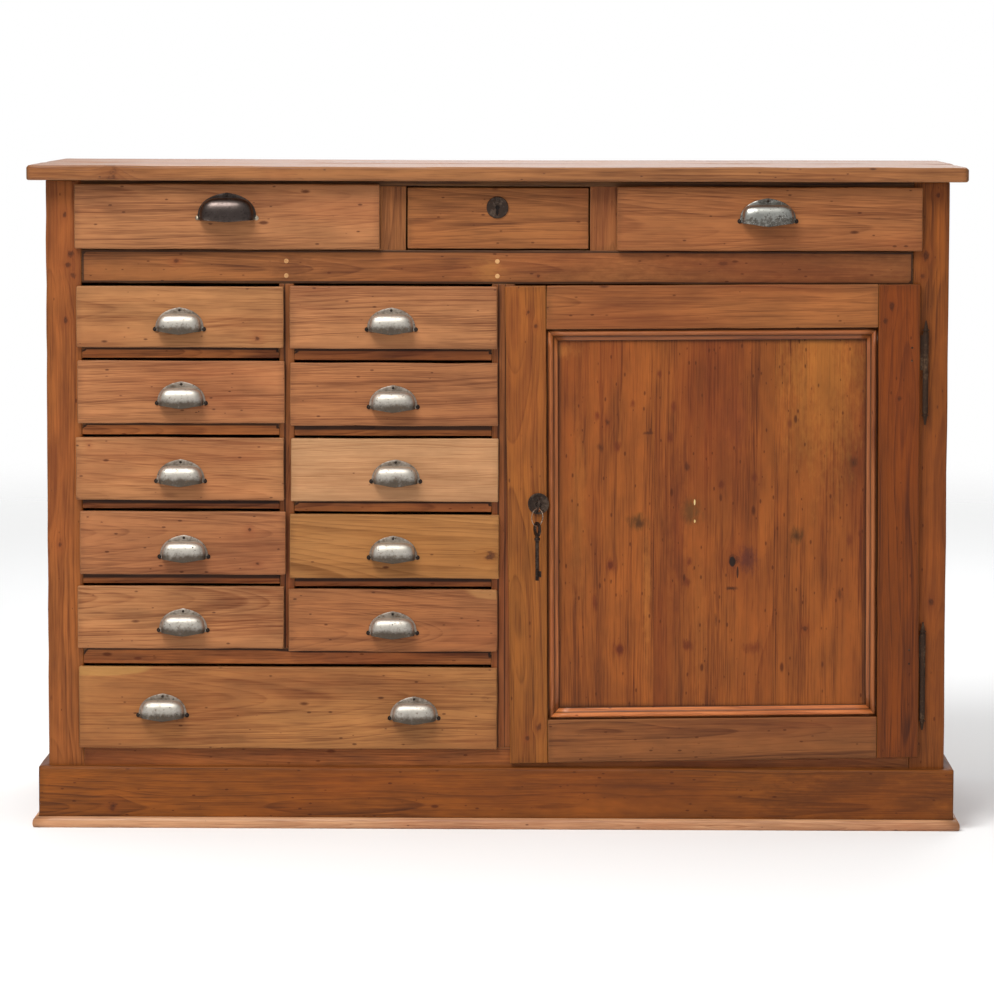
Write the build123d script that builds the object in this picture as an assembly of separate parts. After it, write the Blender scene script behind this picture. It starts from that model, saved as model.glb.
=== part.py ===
from build123d import *
import math
import os

os.makedirs("parts", exist_ok=True)

# =====================================================================
# Seed storage cabinet: a floor-standing pine cabinet with three drawers
# in the top row, ten small drawers in two columns, one wide drawer and a
# framed cupboard door.  Millimetres.  +X to the viewer's right, +Y to the
# back, +Z up.  While modelling, y = 0 is the front face of the stiles;
# the last step moves everything so that the origin is at the centre of
# the footprint, on the floor.
# =====================================================================

# ---- overall ---------------------------------------------------------
top_half_x = 686.5          # half the length of the top
top_z0, top_z1 = 954.3, 976.2
top_front_y, top_back_y = -30.0, 480.0
top_seam_y = 222.0          # joint between the two planks of the top
top_corner_r = 9.0
body_half_x = 661.0         # outer face of the sides
body_back_y = 470.0
side_t = 20.0
stile_w = 52.0
stile_t = 24.0              # all front frame members
stile_in = body_half_x - stile_w          # 609
back_t = 12.0
back_y0 = body_back_y - back_t            # 458

# ---- plinth ----------------------------------------------------------
plinth_half_x = 674.5
plinth_t = 15.0
plinth_top = 90.0
plinth_front_y = -plinth_t
plinth_half_t = plinth_half_x - body_half_x   # side boards, 13.5
bead_h = 15.9
bead_out = 9.0              # how far the bead stands off the plinth

# ---- front frame heights --------------------------------------------
bottom_rail_z = (60.0, 118.3)
frieze_z = (803.5, 852.5)
top_rail_z = (946.5, 954.3)
floor_z = (101.3, 118.3)
dust_z = (840.5, 852.5)
shelf_z = (462.0, 480.0)

# ---- uprights --------------------------------------------------------
col_div_x = (-319.0, -297.0)
centre_stile_x = (-7.0, 27.0)
frieze_div_l = (-180.0, -133.0)
frieze_div_r = (136.0, 184.0)
col_part_x = (-316.0, -300.0)
cup_part_x = (-7.0, 13.0)
dust_gap = 0.4

# ---- drawer fronts: x0, x1, z0, z1 as they stand on the front ---------
lip_t = 10.0                # thickness of the part that laps the frame
lip_gap = 0.5               # air between the lip and the frame
block_t = 12.0              # thickness of the part inside the opening
lip_front_y = -(lip_gap + lip_t)          # -10.5
lip_back_y = -lip_gap
block_back_y = lip_back_y + block_t       # 11.5
left_fronts = {
    1: (-616.1, -312.1, 709.5, 799.2),
    2: (-614.9, -310.5, 598.0, 690.2),
    3: (-618.0, -311.6, 484.7, 577.3),
    4: (-612.4, -309.1, 375.1, 468.1),
    5: (-616.1, -312.1, 265.3, 357.5),
}
right_fronts = {
    1: (-303.6, 1.3, 708.1, 800.4),
    2: (-302.9, 2.2, 595.2, 687.8),
    3: (-302.1, 2.9, 483.8, 576.5),
    4: (-303.6, 4.4, 370.1, 464.5),
    5: (-305.8, 2.2, 261.8, 353.8),
}
bottom_front = (-615.0, 2.2, 116.8, 238.1)
top_left_front = (-618.3, -171.3, 853.7, 949.0)
top_right_front = (175.3, 621.7, 853.2, 946.5)
centre_front = (-131.0, 134.0, 855.0, 944.5)   # flush in its opening

# ---- drawer boxes ----------------------------------------------------
box_side_t = 10.0
box_back_t = 10.0
box_bottom_t = 6.0
box_clear_x = 2.0
box_back_y = 430.0
rest_gap = 0.3              # air under a drawer on its runners
rail_top_gap = 3.4          # from a drawer's top edge to the rail above
rail_lap = 1.2              # how far a drawer's front laps the rail below
runner_h = 14.0
runner_y = (stile_t, 452.0)

# ---- cup pulls: cup width, height, depth, plate width, plate height,
#      depth of the drop in the middle of the lip -------------------
pull_small = (64.0, 26.0, 21.0, 78.0, 35.0, 4.0)
pull_bronze = (80.0, 33.0, 24.0, 93.0, 40.0, 2.2)
pull_iron = (75.0, 27.5, 22.5, 89.0, 36.5, 4.4)
pull_wall = 1.8
plate_t = 1.6
small_half_h = 17.5         # from the middle of a small pull to its mouth
left_pull = {1: (-464.5, 751.3), 2: (-462.1, 642.6), 3: (-463.6, 528.0),
             4: (-459.2, 416.3), 5: (-460.7, 307.5)}
right_pull = {1: (-154.3, 751.7), 2: (-151.4, 637.9), 3: (-147.7, 528.4),
              4: (-151.4, 416.0), 5: (-152.1, 304.3)}
bottom_pull = ((-491.5, 181.1), (-120.5, 178.0))
top_left_pull = (-394.6, 916.2)
top_right_pull = (395.4, 911.8)

# ---- door ------------------------------------------------------------
# outer corners (x, z): the door has sagged and is a little out of square
door_tl, door_tr = (12.1, 801.0), (618.8, 805.5)
door_bl, door_br = (21.4, 95.8), (622.5, 107.5)
lock_in = ((72.5, 737.9), (76.2, 161.2))     # inner edge of the lock stile
hinge_in = ((558.3, 741.7), (561.3, 168.2))  # inner edge of the hinge stile
door_block_x = (29.5, 606.0)   # the part of the door inside the opening
door_block_z = (121.5, 800.0)
panel_y = (-1.0, 7.0)
panel_tongue = 9.0
mould_w = 17.0
hinge_x, hinge_y = 627.8, -5.6
knuckle_r = 4.2
pin_r = 2.5
pin_clear = 0.06
upper_hinge_z = (599.0, 752.0)
lower_hinge_z = (148.0, 308.0)
finial_h = 17.0
leaf_t = 2.0
leaf_w = 22.0

# ---- lock, key, ring and spare key ------------------------------------
key_x, key_z = 61.9, 481.6
case_x, case_z = (30.3, 88.0), (448.0, 512.0)
case_y = (block_back_y, block_back_y + 12.0)      # 11.5 .. 23.5
case_wall = 1.5
bolt_z = (490.6, 500.6)
bolt_y = (14.6, 20.4)
bolt_x = (30.6, 80.0)
bolt_travel = 9.0
bit_r = 11.0
key_r = 3.0
bow_y = -37.0
bow_half = (11.2, 11.5)       # half depth and half height of the bow
bow_hole = (8.0, 8.4)
bow_t = 2.8
key_lean = 11.5               # the key stands a little off upright
escutcheon_r = 15.6
ring_r, ring_wire = 12.6, 0.8
ring_turn = 50.0              # how far the ring is turned from the front
ring_rise = 2.6               # wire over the lower edge of the bow's hole
spare_turn = 64.0             # how far the spare key is turned
spare_len = 86.0

# ---- lock of the small middle drawer ---------------------------------
dlock_x, dlock_z = 0.7, 915.5
dlock_r = 16.0
dbolt_travel = 6.0

# =====================================================================
# helpers
# =====================================================================


def bx(x0, x1, y0, y1, z0, z1):
    """A board between two corners."""
    return Pos((x0 + x1) / 2, (y0 + y1) / 2, (z0 + z1) / 2) * Box(
        x1 - x0, y1 - y0, z1 - z0)


def prism_y(pts, y0, y1):
    """An outline drawn in x and z, carried from y0 to y1."""
    f = make_face(Polyline(*[(x, y0, z) for x, z in pts], close=True))
    return extrude(f, amount=y1 - y0, dir=(0, 1, 0))


def prism_x(pts, x0, x1):
    """An outline drawn in y and z, carried from x0 to x1."""
    f = make_face(Polyline(*[(x0, y, z) for y, z in pts], close=True))
    return extrude(f, amount=x1 - x0, dir=(1, 0, 0))


def prism_z(pts, z0, z1):
    """An outline drawn in x and y, carried from z0 to z1."""
    f = make_face(Polyline(*[(x, y, z0) for x, y in pts], close=True))
    return extrude(f, amount=z1 - z0, dir=(0, 0, 1))


def rod_y(x, z, r, y0, y1):
    return Pos(x, (y0 + y1) / 2, z) * Rot(90, 0, 0) * Cylinder(r, y1 - y0)


def rod_z(x, y, r, z0, z1):
    return Pos(x, y, (z0 + z1) / 2) * Cylinder(r, z1 - z0)


def at_z(p, q, z):
    """x on the line from p to q (x, z) at height z."""
    t = (z - p[1]) / (q[1] - p[1])
    return p[0] + t * (q[0] - p[0])


def at_x(p, q, x):
    """z on the line from p to q (x, z) at x."""
    t = (x - p[0]) / (q[0] - p[0])
    return p[1] + t * (q[1] - p[1])


nodes = {}


def add(name, *shapes):
    """Collects the separate solids of one node."""
    out = nodes.setdefault(name, [])
    for s in shapes:
        out.extend(s.solids())


# =====================================================================
# carcass
# =====================================================================
seam = 0.15   # a hairline between boards that are glued edge to edge

front_plank = bx(-top_half_x, top_half_x, top_front_y, top_seam_y - seam,
                 top_z0, top_z1)
front_plank = fillet(
    front_plank.edges().filter_by(Axis.Z).group_by(Axis.Y)[0], top_corner_r)
back_plank = bx(-top_half_x, top_half_x, top_seam_y + seam, top_back_y,
                top_z0, top_z1)
add("top_boards", front_plank, back_plank)

side_seams = (stile_t, 176.0, 322.0, body_back_y)
for name, x0 in (("side_left", -body_half_x), ("side_right",
                                               body_half_x - side_t)):
    for i in range(3):
        add(name, bx(x0, x0 + side_t, side_seams[i] + (seam if i else 0),
                     side_seams[i + 1] - (seam if i < 2 else 0), 0, top_z0))

stile_l = bx(-body_half_x, -stile_in, 0, stile_t, 0, top_z0)
stile_r = bx(stile_in, body_half_x, 0, stile_t, 0, top_z0)

# nine upright boards close the back, between the sides
n_back = 9
bw = 2 * (body_half_x - side_t) / n_back
for i in range(n_back):
    xa = -(body_half_x - side_t) + i * bw
    add("back_boards", bx(xa + (0.6 if i else 0), xa + bw - (
        0.6 if i < n_back - 1 else 0), back_y0, body_back_y, 40.0, top_z0))

# rail under the top, with a mortise for the bolt of the middle drawer
top_rail = bx(-stile_in, stile_in, 0, 60.0, *top_rail_z)
top_rail -= bx(dlock_x - 9, dlock_x + 9, 13.5, 22.5, top_rail_z[0] - 1,
               top_rail_z[0] + 5.5)
# frieze rail under the top row, with four oak pegs that pin the tenons
frieze = bx(-stile_in, stile_in, 0, stile_t, *frieze_z)
peg_r = 3.3
pegs = []
for px in (-308.5, 0.7):
    for pz in (836.5, 815.0):
        frieze -= rod_y(px, pz, peg_r, -1, stile_t + 1)
        pegs.append(rod_y(px, pz, peg_r, -0.4, stile_t))
add("face_rails", top_rail, frieze, *pegs)

for x0, x1 in (frieze_div_l, frieze_div_r):
    add("frieze_dividers", bx(x0, x1, 0, stile_t, frieze_z[1], top_rail_z[0]),
        # a thin guide board behind each post keeps the drawers apart
        bx((x0 + x1) / 2 - 6, (x0 + x1) / 2 + 6, stile_t, back_y0 - 4,
           frieze_z[1] + dust_gap, top_z0 - 8))

# rails between the drawers: (left column, right column)
rails_l, rails_r = {}, {}
for k in (1, 2, 3, 4):
    rails_l[k] = (left_fronts[k + 1][3] + rail_top_gap,
                  left_fronts[k][2] + rail_lap)
    rails_r[k] = (right_fronts[k + 1][3] + rail_top_gap,
                  right_fronts[k][2] + rail_lap)
low_rail_z0 = bottom_front[3] + rail_top_gap
low_l = left_fronts[5][2] + rail_lap
low_r = right_fronts[5][2] + rail_lap
low_mid = 0.5 * (low_l + low_r)
for k in rails_l:
    add("drawer_rails", bx(-stile_in, col_div_x[0], 0.8, stile_t, *rails_l[k]),
        bx(col_div_x[1], centre_stile_x[0], 0.8, stile_t, *rails_r[k]))
# the long rail over the wide drawer steps down a little at the divider
add("drawer_rails", prism_y([
    (-stile_in, low_rail_z0), (centre_stile_x[0], low_rail_z0),
    (centre_stile_x[0], low_r), (col_div_x[1], low_r),
    (col_div_x[1], low_mid), (col_div_x[0], low_mid), (col_div_x[0], low_l),
    (-stile_in, low_l)], 0.8, stile_t))

add("column_divider", bx(*col_div_x, 0.4, stile_t, low_mid, frieze_z[0]))

# centre stile, with a mortise for the bolt of the door lock
centre_stile = bx(*centre_stile_x, 0, stile_t, bottom_rail_z[1], frieze_z[0])
centre_stile -= bx(centre_stile_x[1] - 11.0, centre_stile_x[1] + 1, bolt_y[0]
                   - 1.2, bolt_y[1] + 1.2, bolt_z[0] - 1.5, bolt_z[1] + 1.5)
add("centre_stile", centre_stile)

# two upright boards: between the columns, and between drawers and cupboard
add("partitions",
    bx(*col_part_x, stile_t, back_y0, low_mid, dust_z[0]),
    bx(*cup_part_x, stile_t, back_y0, floor_z[1], dust_z[0]))

add("bottom_rail", bx(-stile_in, stile_in, 0, stile_t, *bottom_rail_z))
add("floor_board", bx(-(body_half_x - side_t), body_half_x - side_t, stile_t,
                      240.0 - seam, *floor_z),
    bx(-(body_half_x - side_t), body_half_x - side_t, 240.0 + seam, back_y0,
       *floor_z))
add("dust_board", bx(-(body_half_x - side_t), body_half_x - side_t, stile_t,
                     240.0 - seam, *dust_z),
    bx(-(body_half_x - side_t), body_half_x - side_t, 240.0 + seam, back_y0,
       *dust_z))
add("cupboard_shelf",
    bx(cup_part_x[1] + 1, body_half_x - side_t - 1, 60.0, back_y0, *shelf_z),
    bx(cup_part_x[1], cup_part_x[1] + 22, 60.0, back_y0, shelf_z[0] - 24,
       shelf_z[0]),
    bx(body_half_x - side_t - 22, body_half_x - side_t, 60.0, back_y0,
       shelf_z[0] - 24, shelf_z[0]))

# runners carry the drawers; guides beside them fill the space between the
# drawer boxes and the sides of the carcass
inner_x = body_half_x - side_t
gap_w = inner_x - stile_in                # 32
levels_l = [rails_l[k][1] for k in (1, 2, 3, 4)] + [low_l]
levels_r = [rails_r[k][1] for k in (1, 2, 3, 4)] + [low_r]
for z in levels_l:
    add("drawer_runners",
        bx(-inner_x, -stile_in + 12, *runner_y, z - runner_h, z),
        bx(-inner_x, -stile_in - 0.5, *runner_y, z + 0.1, z + 22),
        bx(col_part_x[0] - 13, col_part_x[0], *runner_y, z - runner_h, z))
for z in levels_r:
    add("drawer_runners",
        bx(col_part_x[1], col_part_x[1] + 13, *runner_y, z - runner_h, z),
        bx(cup_part_x[0] - 13, cup_part_x[0], *runner_y, z - runner_h, z))
add("drawer_runners",
    bx(-inner_x, -stile_in - 0.5, *runner_y, floor_z[1], floor_z[1] + 22),
    bx(-inner_x, -stile_in - 0.5, *runner_y, dust_z[1], dust_z[1] + 22),
    bx(stile_in + 0.5, inner_x, *runner_y, dust_z[1], dust_z[1] + 22))

# plinth: three boards mitred at the front corners, and a half-round bead
pf, ph = plinth_front_y, plinth_half_x
front_board = prism_z([(-ph, pf), (ph, pf), (body_half_x, 0.0),
                       (-body_half_x, 0.0)], 0, plinth_top)
right_board = prism_z([(ph, pf + 0.1), (ph, body_back_y),
                       (body_half_x, body_back_y), (body_half_x, 0.1)],
                      0, plinth_top)
left_board = mirror(right_board, about=Plane.YZ)


front_board = chamfer(front_board.edges().group_by(Axis.Z)[-1].group_by(
    Axis.Y)[0], 3.0)
add("plinth_boards", front_board, left_board, right_board)

# bead: a quarter-round strip standing on the floor against the plinth
bead_pts = [(0.0, 0.0), (bead_out * 0.75, 0.0), (bead_out * 0.95,
            bead_h * 0.18), (bead_out, bead_h * 0.42),
            (bead_out * 0.93, bead_h * 0.68), (bead_out * 0.70, bead_h * 0.90),
            (bead_out * 0.38, bead_h), (0.0, bead_h)]
fx = ph + bead_out
front_bead = prism_x([(pf - d, z) for d, z in bead_pts], -fx, fx)
cut_r = prism_z([(ph, pf), (fx + 5, pf - bead_out - 5), (fx + 5, pf + 5)],
                -1, bead_h + 1)
front_bead -= cut_r
front_bead -= mirror(cut_r, about=Plane.YZ)
f = make_face(Polyline(*[(ph + d, pf - bead_out, z) for d, z in bead_pts],
                       close=True))
side_bead = extrude(f, amount=body_back_y - (pf - bead_out), dir=(0, 1, 0))
side_bead -= prism_z([(ph - 5, pf + 5.1), (ph - 5, pf - bead_out - 5),
                      (fx + 5, pf - bead_out - 4.9)], -1, bead_h + 1)
add("plinth_bead", front_bead, side_bead, mirror(side_bead, about=Plane.YZ))

# =====================================================================
# drawers
# =====================================================================


def cup_pull(x, z, y, dims):
    """A cast cup pull on the face y, its mouth at height z.
    Returns the casting, its three pins and the holes they need."""
    cw, chh, cd, pw, phh, drop = dims
    r = min(0.42 * chh, 0.5 * cd)
    outer = bx(-cw / 2, cw / 2, -cd, 6.0, -drop - 2, chh)
    e = [q for q in outer.edges() if q.center().Y < -cd + 0.1 and (
        q.center().Z > chh - 0.1 or abs(q.center().X) > cw / 2 - 0.1)]
    e += [q for q in outer.edges() if abs(q.center().X) > cw / 2 - 0.1
          and q.center().Z > chh - 0.1 and q.center().Y > -cd + 0.1]
    outer = fillet(e, r)
    w = pull_wall
    inner = bx(-cw / 2 + w, cw / 2 - w, -cd + w, 8.0, -drop - 4, chh - w)
    e = [q for q in inner.edges() if q.center().Y < -cd + w + 0.1 and (
        q.center().Z > chh - w - 0.1 or abs(q.center().X) > cw / 2 - w - 0.1)]
    e += [q for q in inner.edges() if abs(q.center().X) > cw / 2 - w - 0.1
          and q.center().Z > chh - w - 0.1 and q.center().Y > -cd + w + 0.1]
    inner = fillet(e, r - w)
    # arched back plate with an ear at each lower corner
    pts = []
    a0, n = pw / 2 - 3.5, 2.6
    for i in range(25):
        t = math.pi * i / 24.0
        c, s = math.cos(t), math.sin(t)
        pts.append((a0 * math.copysign(abs(c) ** (2 / n), c),
                    1.0 + (phh - 1.0) * s ** (2 / n) * (
                        1 - 0.16 * abs(c) ** 0.7)))
    plate = prism_y(pts, -plate_t, 0.0)
    for sx in (-1, 1):
        plate += Pos(sx * (pw / 2 - 3.4), -plate_t / 2, 2.9) * Rot(
            90, 0, 0) * Cylinder(3.4, plate_t)
    body = outer & bx(-cw, cw, -cd - 1, 0.0, -drop - 2, chh + 1)
    body += plate
    body -= inner
    # the lip dips in the middle
    body -= prism_y([(-cw, 0.0), (-cw * 0.27, 0.0), (-cw * 0.10, -drop * 0.8),
                     (0, -drop), (cw * 0.10, -drop * 0.8), (cw * 0.27, 0.0),
                     (cw, 0.0), (cw, -drop - 5), (-cw, -drop - 5)],
                    -cd - 1, -plate_t - 0.01)
    body -= bx(-cw, cw, -plate_t - 0.02, 0.5, -drop - 5, -0.4)
    spots = [(0.0, phh - 4.2), (-(pw / 2 - 3.6), 2.9), (pw / 2 - 3.6, 2.9)]
    pins, holes = [], []
    for px, pz in spots:
        body -= rod_y(px, pz, 1.15, -plate_t - 1, 1)
        pins.append(rod_y(px, pz, 1.1, -plate_t, 8.0) + rod_y(
            px, pz, 2.0, -plate_t - 1.1, -plate_t))
        holes.append(rod_y(px, pz, 1.15, -1.0, 8.5))
    loc = Pos(x, y, z)
    sol = max(body.solids(), key=lambda q: q.volume)
    return loc * sol, [loc * p for p in pins], [loc * h for h in holes]


def drawer(name, front, opening, pulls=(), inset=False, side_h=None):
    """front = x0, x1, z0, z1 of the face; opening = x0, x1, z0, z1."""
    x0, x1, z0, z1 = front
    ox0, ox1, oz0, oz1 = opening
    if inset:
        face = bx(x0, x1, 0.0, 22.0, z0, z1)
        back = 22.0
    else:
        face = bx(x0, x1, lip_front_y, lip_back_y, z0, z1) + bx(
            ox0 + box_clear_x, ox1 - box_clear_x, lip_back_y, block_back_y,
            oz0 + 0.8, min(oz1 - 2.2, z1 - 1.5))
        back = block_back_y
    hardware = []
    for px, pz, dims in pulls:
        body, pins, holes = cup_pull(px, pz, lip_front_y, dims)
        for h in holes:
            face -= h
        hardware += [body] + pins
    bx0, bx1 = ox0 + box_clear_x + 0.5, ox1 - box_clear_x - 0.5
    sz0, sz1 = oz0 + rest_gap, oz1 - 7.0
    t = box_side_t
    add(name, face,
        bx(bx0, bx0 + t, back, box_back_y, sz0, sz1),
        bx(bx1 - t, bx1, back, box_back_y, sz0, sz1),
        bx(bx0 + t, bx1 - t, box_back_y - box_back_t, box_back_y, sz0 + 12.2,
           sz1 - 4),
        bx(bx0 + t, bx1 - t, back, box_back_y, sz0 + 6, sz0 + 6
           + box_bottom_t))
    return hardware


for k in (1, 2, 3, 4, 5):
    hi = frieze_z[0] if k == 1 else rails_l[k - 1][0]
    lo = low_l if k == 5 else rails_l[k][1]
    px, pz = left_pull[k]
    add("pull_left_%d" % k, *drawer(
        "drawer_left_%d" % k, left_fronts[k],
        (-stile_in, col_div_x[0], lo, hi),
        [(px, pz - small_half_h, pull_small)]))
    hi = frieze_z[0] if k == 1 else rails_r[k - 1][0]
    lo = low_r if k == 5 else rails_r[k][1]
    px, pz = right_pull[k]
    add("pull_right_%d" % k, *drawer(
        "drawer_right_%d" % k, right_fronts[k],
        (col_div_x[1], centre_stile_x[0], lo, hi),
        [(px, pz - small_half_h, pull_small)]))

add("pulls_bottom", *drawer(
    "bottom_drawer", bottom_front,
    (-stile_in, centre_stile_x[0], bottom_rail_z[1], low_rail_z0),
    [(px, pz - small_half_h, pull_small) for px, pz in bottom_pull]))
add("pull_top_left", *drawer(
    "top_drawer_left", top_left_front,
    (-stile_in, frieze_div_l[0], frieze_z[1], top_rail_z[0]),
    [(top_left_pull[0], top_left_pull[1] - 19.5, pull_bronze)]))
add("pull_top_right", *drawer(
    "top_drawer_right", top_right_front,
    (frieze_div_r[1], stile_in, frieze_z[1], top_rail_z[0]),
    [(top_right_pull[0], top_right_pull[1] - 18.0, pull_iron)]))
drawer("top_drawer_centre", centre_front,
       (frieze_div_l[1] + 0.3, frieze_div_r[0] - 0.3, frieze_z[1],
        top_rail_z[0]), inset=True)

# lock of the middle drawer: round escutcheon, keyhole, case and bolt
cf = nodes["top_drawer_centre"][0]
hole = rod_y(dlock_x, dlock_z, 3.4, -3, 30) + bx(
    dlock_x - 2.2, dlock_x + 2.2, -3, 30, dlock_z - 11.5, dlock_z)
cf = cf - hole
cf = cf - bx(dlock_x - 8, dlock_x + 8, 13.6, 22.1, 925.0, 950.0)
nodes["top_drawer_centre"][0] = cf.solids()[0]
esc = rod_y(dlock_x, dlock_z, dlock_r, -2.4, 0.0)
esc = fillet(esc.edges().group_by(Axis.Y)[0], 1.4) - hole
dcase = bx(dlock_x - 27, dlock_x + 27, 22.0, 33.0, 896.0, 939.0)
dcase -= bx(dlock_x - 25.5, dlock_x + 25.5, 23.5, 31.5, 897.5, 941.0)
dcase -= bx(dlock_x - 8, dlock_x + 8, 21, 23.6, 925.0, 950.0)
dcase -= rod_y(dlock_x, dlock_z, 3.4, 20, 24) + bx(
    dlock_x - 2.2, dlock_x + 2.2, 20, 24, dlock_z - 11.5, dlock_z)
add("drawer_lock", esc, dcase)
dbolt = bx(dlock_x - 7, dlock_x + 7, 14.6, 29.5, 926.5, 934.5) + bx(
    dlock_x - 7, dlock_x + 7, 14.6, 21.4, 934.5, 944.0)
add("drawer_lock_bolt", dbolt)

# =====================================================================
# door
# =====================================================================
y_f, y_b = lip_front_y, lip_back_y


def door_y_cut(shape_pts):
    """A member: its outline as a lip, and inside the opening at full depth."""
    lip = prism_y(shape_pts, y_f, y_b)
    deep = prism_y(shape_pts, y_b, block_back_y) & bx(
        *door_block_x, y_b, block_back_y, *door_block_z)
    return lip + deep


top_at = lambda x: at_x(door_tl, door_tr, x)
bot_at = lambda x: at_x(door_bl, door_br, x)
lx = lambda z: at_z(*lock_in, z)
hx = lambda z: at_z(*hinge_in, z)
lt, lb = lx(top_at(73)), lx(bot_at(76))
ht, hb = hx(top_at(558)), hx(bot_at(561))
lock_stile = door_y_cut([door_bl, (lb, bot_at(lb)), (lt, top_at(lt)),
                         door_tl])
hinge_stile = door_y_cut([(hb, bot_at(hb)), door_br, door_tr,
                          (ht, top_at(ht))])
g = 0.1                                   # hairline at the shoulders
top_rail_d = door_y_cut([(lock_in[0][0] + g, lock_in[0][1]),
                         (hinge_in[0][0] - g, hinge_in[0][1]),
                         (ht - g, top_at(ht)), (lt + g, top_at(lt))])
bot_rail_d = door_y_cut([(lb + g, bot_at(lb)), (hb - g, bot_at(hb)),
                         (hinge_in[1][0] - g, hinge_in[1][1]),
                         (lock_in[1][0] + g, lock_in[1][1])])
# panel: a board let into a groove on all four sides
q = [lock_in[1], hinge_in[1], hinge_in[0], lock_in[0]]
cx = sum(p[0] for p in q) / 4
cz = sum(p[1] for p in q) / 4


def grow(pts, d):
    """The same outline with every side moved outwards by d."""
    return [(x + d * math.copysign(1, x - cx), z + d * math.copysign(
        1, z - cz)) for x, z in pts]


groove = prism_y(grow(q, panel_tongue + 0.4), panel_y[0] - 0.15,
                 panel_y[1] + 0.15)
pan = prism_y(grow(q, panel_tongue - 0.6), *panel_y)
# it is three upright boards
p3 = [(-10.0, 232.0 - seam), (232.0 + seam, 408.0 - seam),
      (408.0 + seam, 650.0)]
for a, b in p3:
    add("door_panel", pan & bx(a, b, -5, 10, 100, 850))
lock_stile -= groove
hinge_stile -= groove
top_rail_d -= groove
bot_rail_d -= groove

# moulding planted round the panel, mitred at the corners
inner_q = grow(q, -mould_w)
# a sunk quirk beside the frame, a bead, then a hollow down to the panel
prof = [(0.0, 3.0), (2.8, 3.0), (3.4, 6.2), (4.6, 8.3), (6.6, 9.0),
        (8.6, 8.3), (9.9, 6.2), (12.0, 4.4), (14.5, 3.4), (17.0, 2.8),
        (17.0, 0.3), (0.0, 0.3)]  # distance from the frame, height


def mould_side(p, r, pi, ri):
    """One strip of the moulding between two corners."""
    dx, dz = r[0] - p[0], r[1] - p[1]
    L = math.hypot(dx, dz)
    ux, uz = dx / L, dz / L
    nx, nz = -uz, ux                      # towards the panel
    if (cx - p[0]) * nx + (cz - p[1]) * nz < 0:
        nx, nz = -nx, -nz
    base = [(p[0] - ux * 20 + nx * d, panel_y[0] - 0.02 - h,
             p[1] - uz * 20 + nz * d) for d, h in prof]
    face = make_face(Polyline(*base, close=True))
    bar = extrude(face, amount=L + 40, dir=(ux, 0, uz))
    keep = prism_y([p, r, ri, pi], -15, 5)
    return bar & keep


names = [(0, 1), (1, 2), (2, 3), (3, 0)]
qs = grow(q, -0.15)
for a, b in names:
    add("door_moulding", mould_side(qs[a], qs[b], inner_q[a], inner_q[b]))

# hinges: a lower knuckle with its pin on the cabinet's stile, and an upper
# knuckle that lifts off the pin on the door; thin leaves sit in slots
for z0, z1 in (upper_hinge_z, lower_hinge_z):
    a, b = z0 + finial_h, z1 - finial_h
    m = (a + b) / 2
    hxy = (hinge_x, hinge_y)
    low = rod_z(*hxy, knuckle_r, a, m - 0.2)
    low += Pos(*hxy, a - 3) * Cylinder(knuckle_r + 0.5, 2.0)
    low += rod_z(*hxy, 3.0, a - 4, a)
    low += Pos(*hxy, a - 4 - (finial_h - 4) / 2) * Rot(180, 0, 0) * Cone(
        3.4, 1.0, finial_h - 4)
    low -= rod_z(*hxy, pin_r, a + 6, m)
    low += bx(hinge_x - leaf_t / 2, hinge_x + leaf_t / 2, hinge_y + 3.4,
              hinge_y + 3.4 + leaf_w, a + 4, m - 4)
    low -= rod_z(*hxy, pin_r, a + 6, m)
    pin = rod_z(*hxy, pin_r, a + 6, b - 6)
    add("hinge_post_leaves", low, pin)
    up = rod_z(*hxy, knuckle_r, m + 0.2, b)
    up += Pos(*hxy, b + 3) * Cylinder(knuckle_r + 0.5, 2.0)
    up += rod_z(*hxy, 3.0, b, b + 4)
    up += Pos(*hxy, b + 4 + (finial_h - 4) / 2) * Cone(3.4, 1.0,
                                                       finial_h - 4)
    up += bx(hinge_x - 3.4 - leaf_w, hinge_x - 3.4, hinge_y - leaf_t / 2,
             hinge_y + leaf_t / 2, m + 4, b - 4)
    up -= rod_z(*hxy, pin_r + pin_clear, m - 1, b - 5.5)
    # two pins fix each door leaf through the stile
    zs = (m + 0.30 * (b - m), m + 0.62 * (b - m))
    for z in zs:
        up -= rod_y(607.5, z, 1.6, -12, 12)
    add("hinge_door_leaves", up)
    for z in zs:
        add("hinge_door_leaves", rod_y(607.5, z, 1.55, y_f - 0.5, y_b - 0.6))
        hinge_stile -= rod_y(607.5, z, 1.6, y_f - 2, y_b - 0.5)
    hinge_stile -= bx(hinge_x - 3.5 - leaf_w - 0.3, hinge_x, hinge_y
                      - leaf_t / 2 - 0.1, hinge_y + leaf_t / 2 + 0.1,
                      m + 3.7, b - 3.7)
    stile_r -= bx(hinge_x - leaf_t / 2 - 0.1, hinge_x + leaf_t / 2 + 0.1,
                  -1.0, hinge_y + 3.4 + leaf_w + 0.3, a + 3.7, m - 3.7)

add("front_stile_left", stile_l)
add("front_stile_right", stile_r)

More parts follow.
